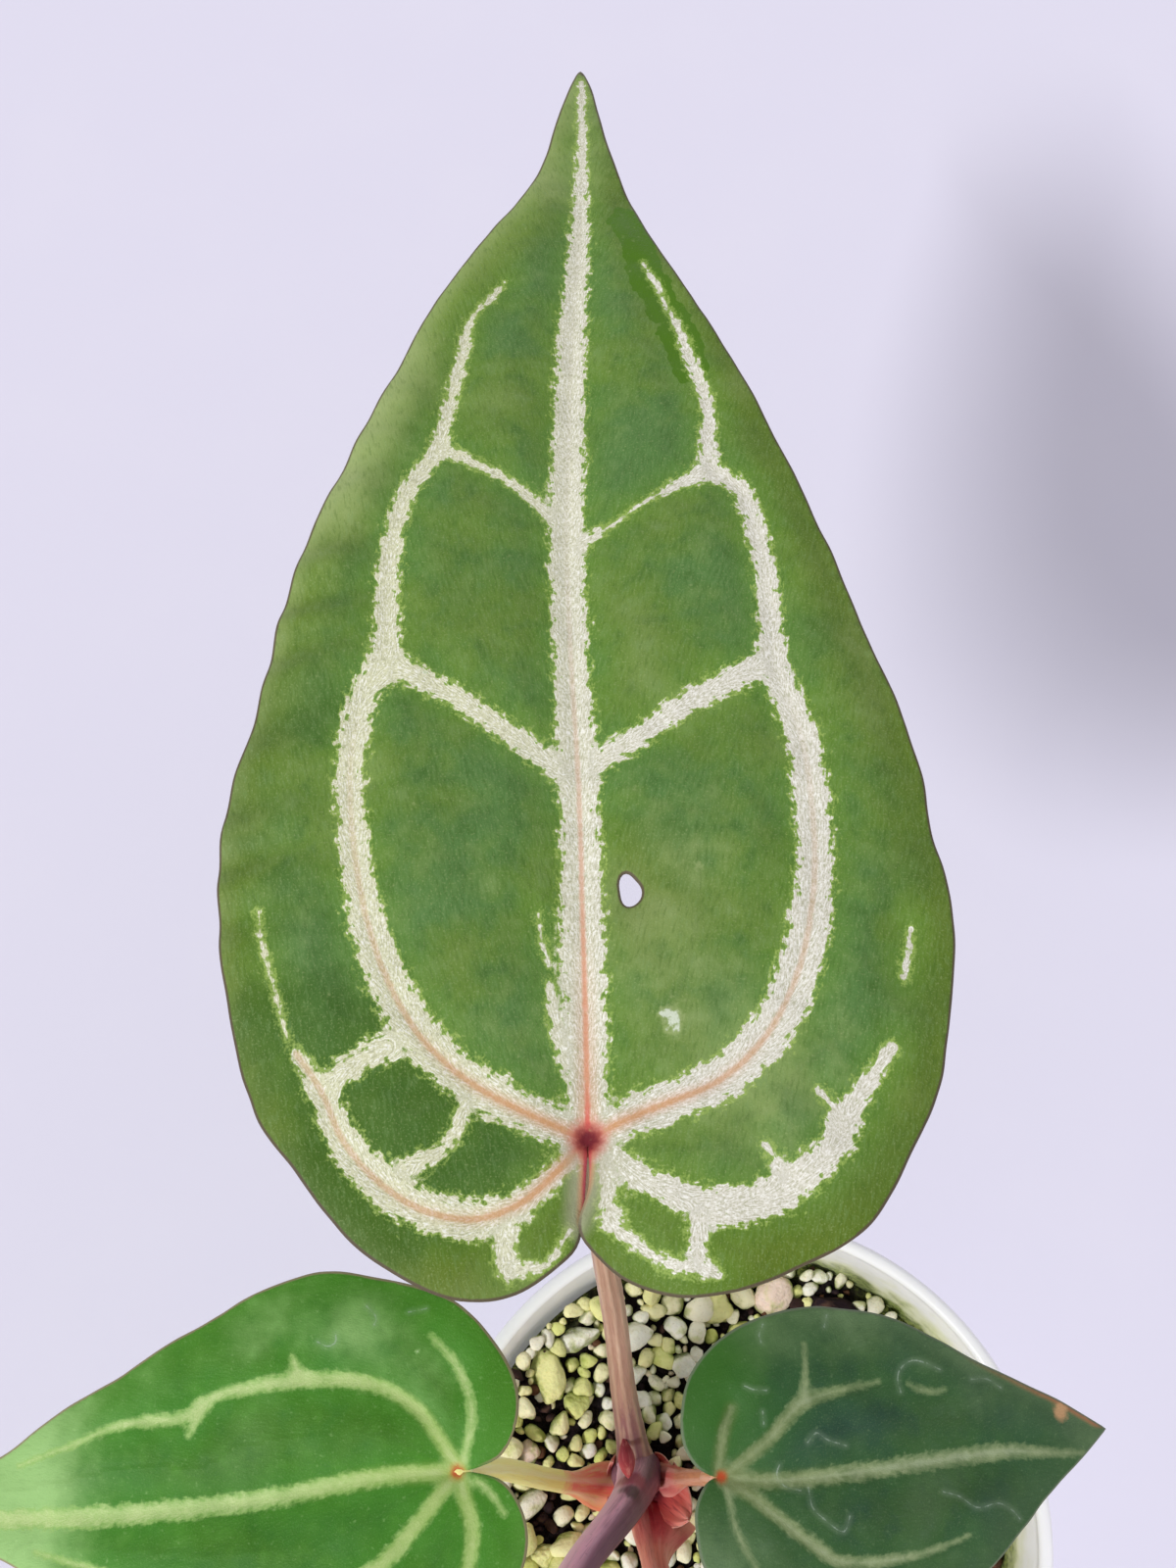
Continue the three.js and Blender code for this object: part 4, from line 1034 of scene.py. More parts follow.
def make_stalk(name, stalk, blade):
    """One stalk: a ridged tube whose winged foot clasps the crown, thickened just under its blade."""
    ends = [blade.foot - blade.normal * depth for depth in (7, 1.1)]
    line = smooth(np.vstack([stalk["line"], ends]), STALK_STEP)
    run = np.concatenate([[0], np.cumsum(np.linalg.norm(np.diff(line, axis=0), axis=1))])
    tangents = np.gradient(line, axis=0)
    tangents /= np.linalg.norm(tangents, axis=1)[:, None]
    side = np.cross(tangents[0], [0, 0, 1])
    side /= np.linalg.norm(side)
    angles = np.arange(STALK_SIDES) / STALK_SIDES * 2 * pi
    thick, thin = stalk["radii"]
    winged = max(stalk["wings"]) > 1.4
    rings, places, shares, ridges, wings = [], [], [], [], []
    for i, (middle, tangent) in enumerate(zip(line, tangents)):
        side = side - tangent * side.dot(tangent)
        side /= np.linalg.norm(side)
        up = np.cross(side, tangent)
        share = run[i] / run[-1]
        radius = thin + (thick - thin) * (1 - share) ** 5
        radius *= 1 + 0.16 * ease(run[i], run[-1] - 9, run[-1] - 4) * (1 - ease(run[i], run[-1] - 2.5, run[-1]))
        radius *= 1 + 0.25 * ease(run[i], run[-1] - 1.6, run[-1])
        wave = np.cos(stalk["ridges"] * angles + 0.7 * sin(3 * share + thick))
        folded = 1 + stalk["ridge"] * (wave + 0.5 * np.cos(3 * angles + 9 * share)) * ease(run[i], 2, 12)
        foot = 1 - ease(run[i], 0.1 * stalk["reach"], stalk["reach"])
        spread = np.where(np.cos(angles) > 0, stalk["wings"][1], stalk["wings"][0]) * np.abs(np.cos(angles)) ** 3
        wide = radius * folded * np.cos(angles) + np.sign(np.cos(angles)) * spread * foot
        tall = radius * folded * np.sin(angles) * (1 - 0.3 * foot * winged)
        tall -= 0.1 * foot * winged * np.abs(wide) ** 1.5
        rings.append(middle + np.outer(wide, side) + np.outer(tall, up))
        places.append(ring(angles, radius, radius, run[i]))
        shares.append(np.full(STALK_SIDES, share))
        ridges.append(0.5 + 0.5 * wave)
        wings.append(foot * winged * np.abs(np.cos(angles)) ** 2)
    points = np.vstack(rings)
    points += 0.05 * rough(points, 1.6, len(name))[:, None]
    values = {
        "stalk_place": np.vstack(places),
        "stalk_share": np.concatenate(shares),
        "ridge": np.concatenate(ridges),
        "wing": np.concatenate(wings),
    }
    make_piece(
        f"stalk_{name}", points, skin(rings), [stalk_skin(name, stalk)], values,
        nodes=[f"petiole_{name}"],
    )


# Crown: the stem and the scales round it


# The stem's place on the mix
STEM = [-17, 8.5]
# The crown's swelling: height, half width, half depth, and how far its middle lies behind the stem's
CROWN = [
    [72.2, 3.3, 3.4, 0], [74.5, 3.9, 3.9, 0.2], [77.5, 4.2, 4, 0.2], [80.5, 4.2, 3.6, -0.2], [83, 3.8, 3, -0.6],
    [84.8, 3, 2.4, -0.8], [85.8, 1.9, 1.5, -0.8],
]
# Scales round the stem: which way each faces, in degrees, its height and width, and how far its tip leans out
SHEATHS = {
    "sheath_back": {"azimuth": 149, "height": 8.5, "width": 6, "lean": 0.6},
    "sheath_right": {"azimuth": 322, "height": 13, "width": 12, "lean": 6},
    "sheath_left": {"azimuth": 236, "height": 9, "width": 6, "lean": 3.2},
    "sheath_inner": {"azimuth": 20, "height": 8, "width": 5.4, "lean": 1.2},
}
SHEATH_FOOT_R = 4.7
SHEATH_SEAT_Z = 72.4
SHEATH_HALF_THICK = 0.2
# The tip of the next leaf's bud, crimson in the cleft between two stalks: its foot and its tip
BUD = [[-18.9, 9, 94.8], [-19.6, 15.6, 90.2]]
BUD_R = 1.75
BUD_RINGS = 22
CROWN_SIDES = 40


def papery_sheath():
    """Papery scale of a shed bud cover: thin, half dry and veined, so light and dark streaks run up it."""
    material, add = new_material(
        "papery_sheath", Roughness=0.48, Specular_IOR_Level=0.4, Subsurface_Weight=0.25,
        Subsurface_Radius=(1.5, 0.5, 0.4), Subsurface_Scale=0.8 * MM,
    )
    place = add("ShaderNodeAttribute", out="Vector", attribute_name="scale_place")
    rise = add("ShaderNodeSeparateXYZ", {0: place}, out="Z")
    rim = add("ShaderNodeAttribute", out="Fac", attribute_name="scale_rim")
    # Streaks 0.8 mm wide, from the foot to the tip
    drawn = add("ShaderNodeVectorMath", {0: place, 1: (1, 1, 1.6)}, operation="MULTIPLY")
    streaks = add("ShaderNodeTexNoise", {"Vector": drawn, "Scale": 1.3, "Detail": 4}, out="Fac")
    base = add("ShaderNodeValToRGB", {"Fac": rise}, stops=[
        (0.1, "#8c2a3a"), (0.4, "#c94f50"), (0.75, "#e5746a"), (1, "#ee9a8c"),
    ])
    colour = layered(add, base, [
        (streaks, 0.5, 0.72, 0.6, "#e79a90"),
        (streaks, 0.47, 0.3, 0.6, "#7c2433"),
        (rim, 0.8, 1, 0.5, "#efbcae"),
    ])
    bump = add("ShaderNodeBump", {"Height": streaks, "Strength": 0.5, "Distance": 0.2 * MM})
    return finish_material(material, colour, bump=bump)


def crown_skin():
    """Soft young stem where the stalks join: smooth waxy skin, mauve and blotched, with a faint gloss."""
    material, add = new_material(
        "waxy_crown", Roughness=0.4, Specular_IOR_Level=0.42, Subsurface_Weight=0.15,
        Subsurface_Radius=(1.2, 0.5, 0.5), Subsurface_Scale=0.8 * MM,
    )
    place = add("ShaderNodeTexCoord", out="Object")
    side = add("ShaderNodeSeparateXYZ", {0: place}, out="X")
    blotch, creases = [
        add("ShaderNodeTexNoise", {"Vector": place, "Scale": 1 / (size * MM), "Detail": 3}, out="Fac")
        for size in (2.6, 0.8)
    ]
    # The left side is painted lit and the right side painted in shade, over blotches and creases
    colour = layered(add, linear("#775465"), [
        (side, -0.019, -0.0225, 0.7, "#a67d92"),
        (side, -0.0165, -0.0135, 0.8, "#573a49"),
        (blotch, 0.5, 0.7, 0.6, "#8a3447"),
        (blotch, 0.46, 0.3, 0.5, "#8b6a78"),
        (creases, 0.55, 0.75, 0.35, "#4b2f3f"),
    ])
    bump = add("ShaderNodeBump", {"Height": creases, "Strength": 0.5, "Distance": 0.3 * MM})
    return finish_material(material, colour, bump=bump)


def make_crown():
    """The swollen top of the stem, with the tip of the next bud in its cleft."""
    angles = np.arange(CROWN_SIDES) / CROWN_SIDES * 2 * pi
    rings = [ring(angles, w, d, z, (STEM[0] - 0.2, STEM[1] + back)) for z, w, d, back in smooth(CROWN, 0.7)]
    points = np.vstack(rings)
    points += 0.3 * rough(points, 3, 31)[:, None] * ((points - [STEM[0], STEM[1] + 1, 79]) / 5)
    make_piece("crown", points, skin(rings), [crown_skin()], nodes=["stem"])

    foot, tip = [np.array(end) for end in BUD]
    axis = tip - foot
    side = np.cross(axis, [0, 0, 1]) / np.linalg.norm(axis)
    up = np.cross(side, axis / np.linalg.norm(axis))
    rings, places = [], []
    for t in np.linspace(0, 1, BUD_RINGS):
        radius = BUD_R * (1 - abs(2 * t - 1) ** 1.7) ** 0.9 * (1.25 - 0.6 * t) + 0.05
        rings.append(
            foot + axis * t + np.outer(radius * np.cos(angles), side) + np.outer(0.7 * radius * np.sin(angles), up)
        )
        places.append(ring(angles, radius, radius, 0.3 - 0.25 * t))
    make_piece(
        "bud_tip", np.vstack(rings), skin(rings), [papery_sheath()],
        {"scale_place": np.vstack(places), "scale_rim": np.zeros(BUD_RINGS * CROWN_SIDES)},
    )


def make_sheath(name, sheath, material):
    """One scale: a thin curved sheet that narrows to a torn tip."""
    rows, columns = 30, 21
    turn = radians(sheath["azimuth"])
    sheets, places, rims = [[], []], [[], []], []
    for i in range(rows):
        share = i / (rows - 1)
        spread = sheath["width"] / 2 * (1 - share**2.4) ** 0.6 * (0.7 + 0.3 * ease(share, 0, 0.3)) + 0.12
        for j in range(columns):
            across = 2 * j / (columns - 1) - 1
            y = spread * across
            out = SHEATH_FOOT_R + sheath["lean"] * share**1.5 - 0.05 * y * y + 0.15 * sin(4 * across + 5 * share)
            z = SHEATH_SEAT_Z + sheath["height"] * (share - 0.04 * across**2 + 0.03 * sin(9 * across) * share)
            rims.append(max(abs(across), share**3) ** 2)
            for k, offset in enumerate((SHEATH_HALF_THICK, -SHEATH_HALF_THICK)):
                r = out + offset * (1 - 0.6 * abs(across))
                x = STEM[0] + r * cos(turn) - y * sin(turn)
                sheets[k].append([x, STEM[1] + r * sin(turn) + y * cos(turn), z])
                places[k].append([y, 0.3 * k, share])
    count = rows * columns
    faces = []
    for i in range(rows - 1):
        for j in range(columns - 1):
            a = i * columns + j
            faces.append((a, a + 1, a + 1 + columns, a + columns))
            faces.append((count + a + columns, count + a + 1 + columns, count + a + 1, count + a))
    border = (
        list(range(columns - 1)) + [columns - 1 + i * columns for i in range(rows - 1)]
        + [count - 1 - j for j in range(columns - 1)] + [(rows - 1 - i) * columns for i in range(rows - 1)]
    )
    for a, b in zip(border, border[1:] + border[:1]):
        faces.append((b, a, count + a, count + b))
    values = {"scale_place": np.array(places[0] + places[1]), "scale_rim": np.array(rims + rims)}
    make_piece(
        f"{name}_scale", np.array(sheets[0] + sheets[1]), faces, [material], values, nodes=[name],
    )


# Pot


POT_TOP = 90.0
POT_UNDER_RIM = 87.4
POT_FOOT_R = 40.0
POT_SHOULDER_R = 51.2
POT_RIM_R = 52.5
POT_WALL = 1.2
POT_FLOOR = 1.8
POT_SIDES = 192
DRAINS = 8
DRAIN_R = 3.0
DRAIN_RING_R = 26.0
SOIL_TOP = 72.0


def nursery_plastic():
    """Injection-moulded polypropylene, thin and white: a satin skin that lets a little light through.

    Its inner wall carries a film of green algae just over the mix, and fine scuffs run round the outside.
    """
    look = bpy.context.scene.anthurium_pot
    material, add = new_material(
        "white_polypropylene", Roughness=0.36, Specular_IOR_Level=0.45, IOR=1.49, Subsurface_Weight=0.4,
        Subsurface_Radius=(1, 1, 1.1), Subsurface_Scale=2 * MM,
    )
    place = add("ShaderNodeTexCoord", out="Object")
    right, height = [add("ShaderNodeSeparateXYZ", {0: place}, out=axis) for axis in "XZ"]
    inner = add("ShaderNodeAttribute", out="Fac", attribute_name="inner_wall")
    film, fine = [
        add("ShaderNodeTexNoise", {"Vector": place, "Scale": 1 / (size * MM), "Detail": detail}, out="Fac")
        for size, detail in ((5, 5), (0.8, 3))
    ]
    squashed = add("ShaderNodeVectorMath", {0: place, 1: (1, 1, 12)}, operation="MULTIPLY")
    scuffs = add("ShaderNodeTexNoise", {"Vector": squashed, "Scale": 1 / (9 * MM), "Detail": 6}, out="Fac")
    level = add("ShaderNodeMath", {0: film, 1: -16 * MM, 2: height}, operation="MULTIPLY_ADD")
    damp = add(
        "ShaderNodeMapRange", {"Value": right, "From Min": -30 * MM, "From Max": 30 * MM, "To Min": 0.12, "To Max": 1},
    )
    damp = add("ShaderNodeMath", {0: damp, 1: inner}, operation="MULTIPLY")
    moss = layered(add, linear("#98a45f"), [(fine, 0.45, 0.6, 0.9, "#56663a")])
    colour = layered(add, look.plastic[:] + (1.0,), [
        (scuffs, 0.55, 0.8, 0.25, "#dcdbe0"),
        (level, 80 * MM, 66.5 * MM, damp, "#dde0b8"),
        (level, 71.5 * MM, 65 * MM, damp, moss),
    ])
    gloss = add(
        "ShaderNodeMapRange", {"Value": scuffs, "From Min": 0.3, "From Max": 0.8, "To Min": 0.3, "To Max": 0.5},
    )
    bump = add("ShaderNodeBump", {"Height": fine, "Strength": 0.12, "Distance": 0.1 * MM})
    return finish_material(material, colour, gloss, bump)


def pot_profile():
    """Half section of the pot from its underside up the outside, over the rolled rim and down the inside."""
    inner, foot, under = POT_SHOULDER_R - POT_WALL, POT_FOOT_R - POT_WALL, POT_UNDER_RIM
    wall = [[POT_FOOT_R + (POT_SHOULDER_R - POT_FOOT_R) * t, 1 + (under - 1) * t] for t in np.linspace(0.02, 0.97, 24)]
    inside_wall = [
        [inner + (foot - inner) * t, under + (POT_FLOOR + 1 - under) * t] for t in np.linspace(0.03, 0.97, 24)
    ]
    return (
        [[0, 0.7], [33, 0.7], [34, 0.5], [35, 0]]
        + arc(POT_FOOT_R - 1, 1, 1, -90, 0, 5)
        + wall
        + arc(POT_SHOULDER_R + 0.35, under - 0.1, 0.3, 180, 90, 4)
        + arc(POT_RIM_R - 0.6, under + 0.75, 0.6, -90, 0, 5)
        + arc(POT_RIM_R - 1.25, POT_TOP - 1.25, 1.25, 0, 90, 9)
        + arc(inner + 1.05, POT_TOP - 1.05, 1.05, 90, 180, 8)
        + [[inner + 0.15, POT_TOP - 1.6], [inner + 0.1, under - 0.4], [inner, under - 0.8]]
        + inside_wall
        + arc(foot - 1, POT_FLOOR + 1, 1, 0, -90, 5)
        + [[0, POT_FLOOR]]
    )


def make_pot():
    """The pot: a thin tapered cup with a rolled rim and a ring of drain holes in its raised floor."""
    points, faces = turned(pot_profile(), POT_SIDES)
    drains = bmesh.new()
    for i in range(DRAINS):
        turn = i * 2 * pi / DRAINS
        at = Matrix.Translation(Vector((DRAIN_RING_R * cos(turn), DRAIN_RING_R * sin(turn), 1)) * MM)
        bmesh.ops.create_cone(
            drains, cap_ends=True, segments=32, radius1=DRAIN_R * MM, radius2=DRAIN_R * MM, depth=6 * MM, matrix=at,
        )
    cutter = bpy.data.objects.new("drain_cutter", bpy.data.meshes.new("drain_cutter"))
    drains.to_mesh(cutter.data)
    drains.free()
    bpy.context.scene.collection.objects.link(cutter)
    blank = bpy.data.objects.new("pot_blank", bpy.data.meshes.new("pot_blank"))
    blank.data.from_pydata((points * MM).tolist(), [], faces)
    bpy.context.scene.collection.objects.link(blank)
    cut = blank.modifiers.new("drains", "BOOLEAN")
    cut.object = cutter
    cut.operation = "DIFFERENCE"
    cut.solver = "EXACT"
    view = bpy.context.evaluated_depsgraph_get()
    done = bpy.data.meshes.new_from_object(blank.evaluated_get(view))
    corners = np.array([v.co for v in done.vertices]) / MM
    loops = [tuple(face.vertices) for face in done.polygons]
    bpy.data.objects.remove(blank)
    bpy.data.objects.remove(cutter)
    out = np.hypot(corners[:, 0], corners[:, 1])
    wall_out = POT_FOOT_R + (POT_SHOULDER_R - POT_FOOT_R) * corners[:, 2] / POT_TOP
    inner_wall = (corners[:, 2] > POT_FLOOR - 0.1) & (out < wall_out - 0.5)
    values = {"inner_wall": inner_wall * 1.0}
    sharpen(make_piece("nursery_pot", corners, loops, [nursery_plastic()], values, nodes=["pot"]))


def sharpen(piece):
    """Keeps a piece's corners crisp where two faces meet at more than 40 degrees."""
    mesh = piece.data
    work = bmesh.new()
    work.from_mesh(mesh)
    for edge in work.edges:
        edge.smooth = edge.calc_face_angle(0) < radians(40)
    work.to_mesh(mesh)
    work.free()


# Potting mix


# The mix is banked up against the wall on the side that BANK_SIDE points to. Its stones lie heaped higher still, more
# and more from the first to the second distance from the middle.
BANK, BANK_SIDE = 5.5, np.array([-0.87, 0.5])
HEAP, HEAP_REACH = 2.5, (38, 47)
# How the mix swells above its edge, from the wall to the middle: [share of the radius, height]
SOIL_SWELL = [[1, 0], [0.87, -0.5], [0.55, 0], [0.25, 0.6], [0, 0.8]]
# Larger stones: [x, y, length, width, height, turn in degrees]
PUMICE = [
    [-32.8, 26.1, 11, 7, 5.4, 84], [-28, 20.4, 6, 5, 4.4, 40], [-27.6, 32, 8.4, 5, 4.6, 12],
    [8.6, 39.4, 8.6, 6.4, 5.4, 30], [-1.6, 37.2, 6.8, 6.2, 5, 0], [1.8, 32.8, 6, 4.2, 4, 30],
    [-8.2, 27.5, 5.4, 5.4, 4.6, 60], [-36.4, 12.8, 5.6, 4.6, 4.2, 70], [-33.4, -4.4, 6.6, 5, 4.6, 20],
    [-24.4, -22.6, 7, 5.4, 4.8, 50], [38.6, 14.8, 7, 5.6, 4.8, 75], [31.4, -6.2, 6.2, 5, 4.4, 15],
    [20.6, 20.2, 7.4, 5.8, 5, 120], [-3.6, -39.6, 7, 5.4, 4.8, 10], [36.2, -22.8, 6.4, 5.2, 4.6, 140],
]
BARK = [
    [19, 36.4, 13, 7, 3.6, 152], [12.6, 28.4, 9, 5, 3, 70], [-2.6, 20.6, 10, 5.4, 3.2, 130],
    [-25.6, -8.6, 9.6, 5, 3, 45], [10.8, -43.4, 9, 5, 3, 165],
]
BEDDED_SHARE = 0.3
# Small stones by piece: the range of their sizes, how many are tried, the seed of their draws, how round they are, how
# finely they are divided, the cover below which the mix stays bare, and their tints on the damper left and elsewhere
LOOSE = {
    "pumice_gravel": {
        "sizes": (2.6, 6.2), "tries": 9500, "seed": 11, "roundness": 6, "level": 3, "bare": 0.04,
        "tints_near": (0.36, 0.78), "tints_far": (0, 0.5),
    },
    "pumice_grit": {
        "sizes": (1.2, 2.4), "tries": 3000, "seed": 12, "roundness": 6, "level": 2, "bare": 0.05,
        "tints_near": (0.4, 0.8), "tints_far": (0, 1),
    },
    "bark_crumbs": {
        "sizes": (1.2, 3.4), "tries": 5200, "seed": 13, "roundness": 20, "level": 2, "bare": -9,
        "tints_near": (0, 0.6), "tints_far": (0.2, 0.9),
    },
}


def inner_radius(z):
    """Radius of the pot's inner wall at a height."""
    share = (z - POT_FLOOR) / (POT_UNDER_RIM - POT_FLOOR)
    return POT_FOOT_R - POT_WALL + share * (POT_SHOULDER_R - POT_FOOT_R)


def soil_height(points):
    """Height of the mix's surface at each x and y: a low swell, lumps and crumbs."""
    r = np.hypot(points[:, 0], points[:, 1]) / inner_radius(SOIL_TOP)
    swell = np.array(SOIL_SWELL)[::-1]
    lumps = 0.9 * rough(flat3(points), 8, 2) + 0.6 * rough(flat3(points), 2.6, 5, 4)
    bank = ease(r, 0.55, 1) * ease(points @ BANK_SIDE / np.maximum(r, 0.01) / inner_radius(SOIL_TOP), 0.5, 0.95)
    return SOIL_TOP + BANK * bank + np.interp(r, swell[:, 0], swell[:, 1]) + lumps * (1 - 0.5 * ease(r, 0.93, 1))


def dark_mix():
    """Potting mix of composted bark and peat, loose and damp: near black, with brown fibres and moss at the wall."""
    material, add = new_material("damp_potting_mix", Roughness=0.88, Specular_IOR_Level=0.22)
    place = add("ShaderNodeTexCoord", out="Object")
    crumbs, fibres, patches = [
        add("ShaderNodeTexNoise", {"Vector": place, "Scale": 1 / (size * MM), "Detail": detail, **more}, out="Fac")
        for size, detail, more in ((2.4, 6, {"Roughness": 0.7}), (1.1, 3, {"Distortion": 1.5}), (11, 3, {}))
    ]
    flat = add("ShaderNodeVectorMath", {0: place, 1: (1, 1, 0)}, operation="MULTIPLY")
    out = add("ShaderNodeVectorMath", {0: flat}, out="Value", operation="LENGTH")
    moss_edge = add("ShaderNodeMath", {0: patches, 1: 22 * MM, 2: out}, operation="MULTIPLY_ADD")
    base = add("ShaderNodeValToRGB", {"Fac": crumbs}, stops=[
        (0.3, "#0b0608"), (0.5, "#191012"), (0.62, "#2b1e22"), (0.78, "#4e3a32"),
    ])
    moss = layered(add, linear("#39431c"), [(fibres, 0.4, 0.65, 1, "#78823c")])
    colour = layered(add, base, [
        (fibres, 0.62, 0.74, 0.6, "#5f493c"),
        (moss_edge, 54.5 * MM, 60.5 * MM, 0.85, moss),
    ])
    height = add("ShaderNodeMath", {0: crumbs, 1: 2.0, 2: fibres}, operation="MULTIPLY_ADD")
    bump = add("ShaderNodeBump", {"Height": height, "Strength": 0.9, "Distance": 0.6 * MM})
    return finish_material(material, colour, bump=bump)


def make_soil():
    """The mix that fills the pot, with a crumbly top."""
    sides, rings, gap = 260, 92, 0.4
    foot_z = POT_FLOOR + 0.3
    top_r, foot_r = inner_radius(SOIL_TOP) - gap, inner_radius(foot_z) - gap
    angles = np.arange(sides) / sides * 2 * pi
    radii = np.linspace(0, 1, rings + 1)[1:] * top_r
    flat = [[0, 0]]
    for i, r in enumerate(radii):
        flat += [[r * cos(a + 0.5 * i / sides), r * sin(a + 0.5 * i / sides)] for a in angles]
    flat = np.array(flat)
    top = np.column_stack([flat, soil_height(flat)])
    points = np.vstack([top, ring(angles, foot_r, foot_r, foot_z), [[0, 0, foot_z]]])
    base = 1 + rings * sides
    faces = [(0, 1 + j, 1 + (j + 1) % sides) for j in range(sides)]
    faces += [(a, d, c, b) for a, b, c, d in bands(1, rings + 1, sides)]
    faces += [(base + sides, base + (j + 1) % sides, base + j) for j in range(sides)]
    make_piece("potting_mix_bed", points, faces, [dark_mix()], nodes=["substrate"])


def unit_lump(level):
    """Points and faces of a round stone of radius 1."""
    work = bmesh.new()
    bmesh.ops.create_icosphere(work, subdivisions=level, radius=1)
    points = np.array([v.co for v in work.verts])
    faces = [tuple(v.index for v in f.verts) for f in work.faces]
    work.free()
    return points, faces


def lump(unit, middle, size, turn, seed, roundness):
    """A stone's points: a ball ground flat on many sides, stretched to its size, with small dents."""
    draw = np.random.default_rng(seed)
    points, _ = unit
    flats = draw.normal(size=(10, 3))
    flats /= np.linalg.norm(flats, axis=1)[:, None]
    depths = draw.uniform(0.82, 1.0, 10)
    facing = np.maximum(points @ flats.T, 0.01) / depths
    radius = ((facing**roundness).sum(1) + 0.74**roundness) ** (-1 / roundness)
    dents = 1 + 0.17 * rough(points, 0.9, seed % 97, 3)
    shaped = points * (radius * dents)[:, None]
    shaped *= np.array(size) / 2 / np.abs(shaped).max(0)
    c, s = cos(turn), sin(turn)
    return np.column_stack([
        shaped[:, 0] * c - shaped[:, 1] * s, shaped[:, 0] * s + shaped[:, 1] * c, shaped[:, 2],
    ]) + np.array(middle)


def pumice_stone():
    """Tumbled pumice gravel: foamed volcanic glass, matt and full of pores, stained by feed and algae in places."""
    look = bpy.context.scene.anthurium_mix
    material, add = new_material(
        "tumbled_pumice", Roughness=0.82, Specular_IOR_Level=0.25, Subsurface_Weight=0.2,
        Subsurface_Radius=(1, 0.8, 0.6), Subsurface_Scale=0.8 * MM,
    )
    place = add("ShaderNodeTexCoord", out="Object")
    tint, low = [add("ShaderNodeAttribute", out="Fac", attribute_name=key) for key in ("tint", "low_side")]
    blotch, fine = [
        add("ShaderNodeTexNoise", {"Vector": place, "Scale": 1 / (size * MM), "Detail": detail}, out="Fac")
        for size, detail in ((3, 4), (0.45, 3))
    ]
    pores = add("ShaderNodeTexVoronoi", {"Vector": place, "Scale": 1 / (0.7 * MM)}, out="Distance")
    stain_and_low_shade = add("ShaderNodeMath", {0: blotch, 1: 0.9, 2: low}, operation="MULTIPLY_ADD")
    base = add("ShaderNodeValToRGB", {"Fac": tint}, stops=[
        (0, "#fffbf0"), (0.3, "#fff6e0"), (0.5, "#fdf5b8"), (0.7, "#e0e68c"), (0.88, "#ffe4d8"), (1, "#e8d0b4"),
    ])
    colour = layered(add, base, [
        (blotch, 0.5, 0.72, 0.5, look.stain[:] + (1.0,)),
        # Painted shade turns each stone's lower side olive, mixed with the algae blotches
        (stain_and_low_shade, 0.66, 1.05, 0.85, "#7c8a38"),
        (pores, 0.22, 0.05, 0.3, "#9c8a66"),
        (fine, 0.6, 0.75, 0.3, "#b49f76"),
    ])
    height = add("ShaderNodeMath", {0: pores, 1: 0.8, 2: fine}, operation="MULTIPLY_ADD")
    bump = add("ShaderNodeBump", {"Height": height, "Strength": 0.55, "Distance": 0.25 * MM})
    return finish_material(material, colour, bump=bump)


def bark_chip():
    """Composted pine bark, chipped and soaked: layered cork that shows dark plum and brown along its plates."""
    material, add = new_material("composted_bark", Roughness=0.8, Specular_IOR_Level=0.25)
    place = add("ShaderNodeTexCoord", out="Object")
    tint = add("ShaderNodeAttribute", out="Fac", attribute_name="tint")
    plates = add("ShaderNodeVectorMath", {0: place, 1: (1, 1, 3.5)}, operation="MULTIPLY")
    cork = add("ShaderNodeTexNoise", {"Vector": plates, "Scale": 1 / (2.6 * MM), "Detail": 6}, out="Fac")
    base = add("ShaderNodeValToRGB", {"Fac": tint}, stops=[
        (0, "#241620"), (0.5, "#3a2420"), (0.85, "#6b4630"), (1, "#a06a48"),
    ])
    colour = layered(add, base, [
        (cork, 0.5, 0.75, 0.5, "#7c5a48"),
        (cork, 0.45, 0.3, 0.6, "#120a0e"),
    ])
    bump = add("ShaderNodeBump", {"Height": cork, "Strength": 0.8, "Distance": 0.5 * MM})
    return finish_material(material, colour, bump=bump)


def make_stones(kind, specs, material, roundness, tints):
    """A finer stone in the place of each larger grain or chip."""
    unit = unit_lump(5)
    for i, (x, y, length, width, height, turn) in enumerate(specs):
        ground = soil_height(np.array([[x, y]]))[0] if kind == "pumice" else SOIL_TOP
        middle = [x, y, ground + height * (0.5 - BEDDED_SHARE)]
        points = lump(unit, middle, [length, width, height], radians(turn), 20 + 7 * i, roundness)
        values = {
            "tint": np.full(len(points), tints[i % len(tints)]),
            "low_side": 0.5 - (points[:, 2] - middle[2]) / height,
        }
        make_piece(f"{kind}_stone_{i + 1}", points, unit[1], [material], values, nodes=[f"{kind}_{i + 1}"])


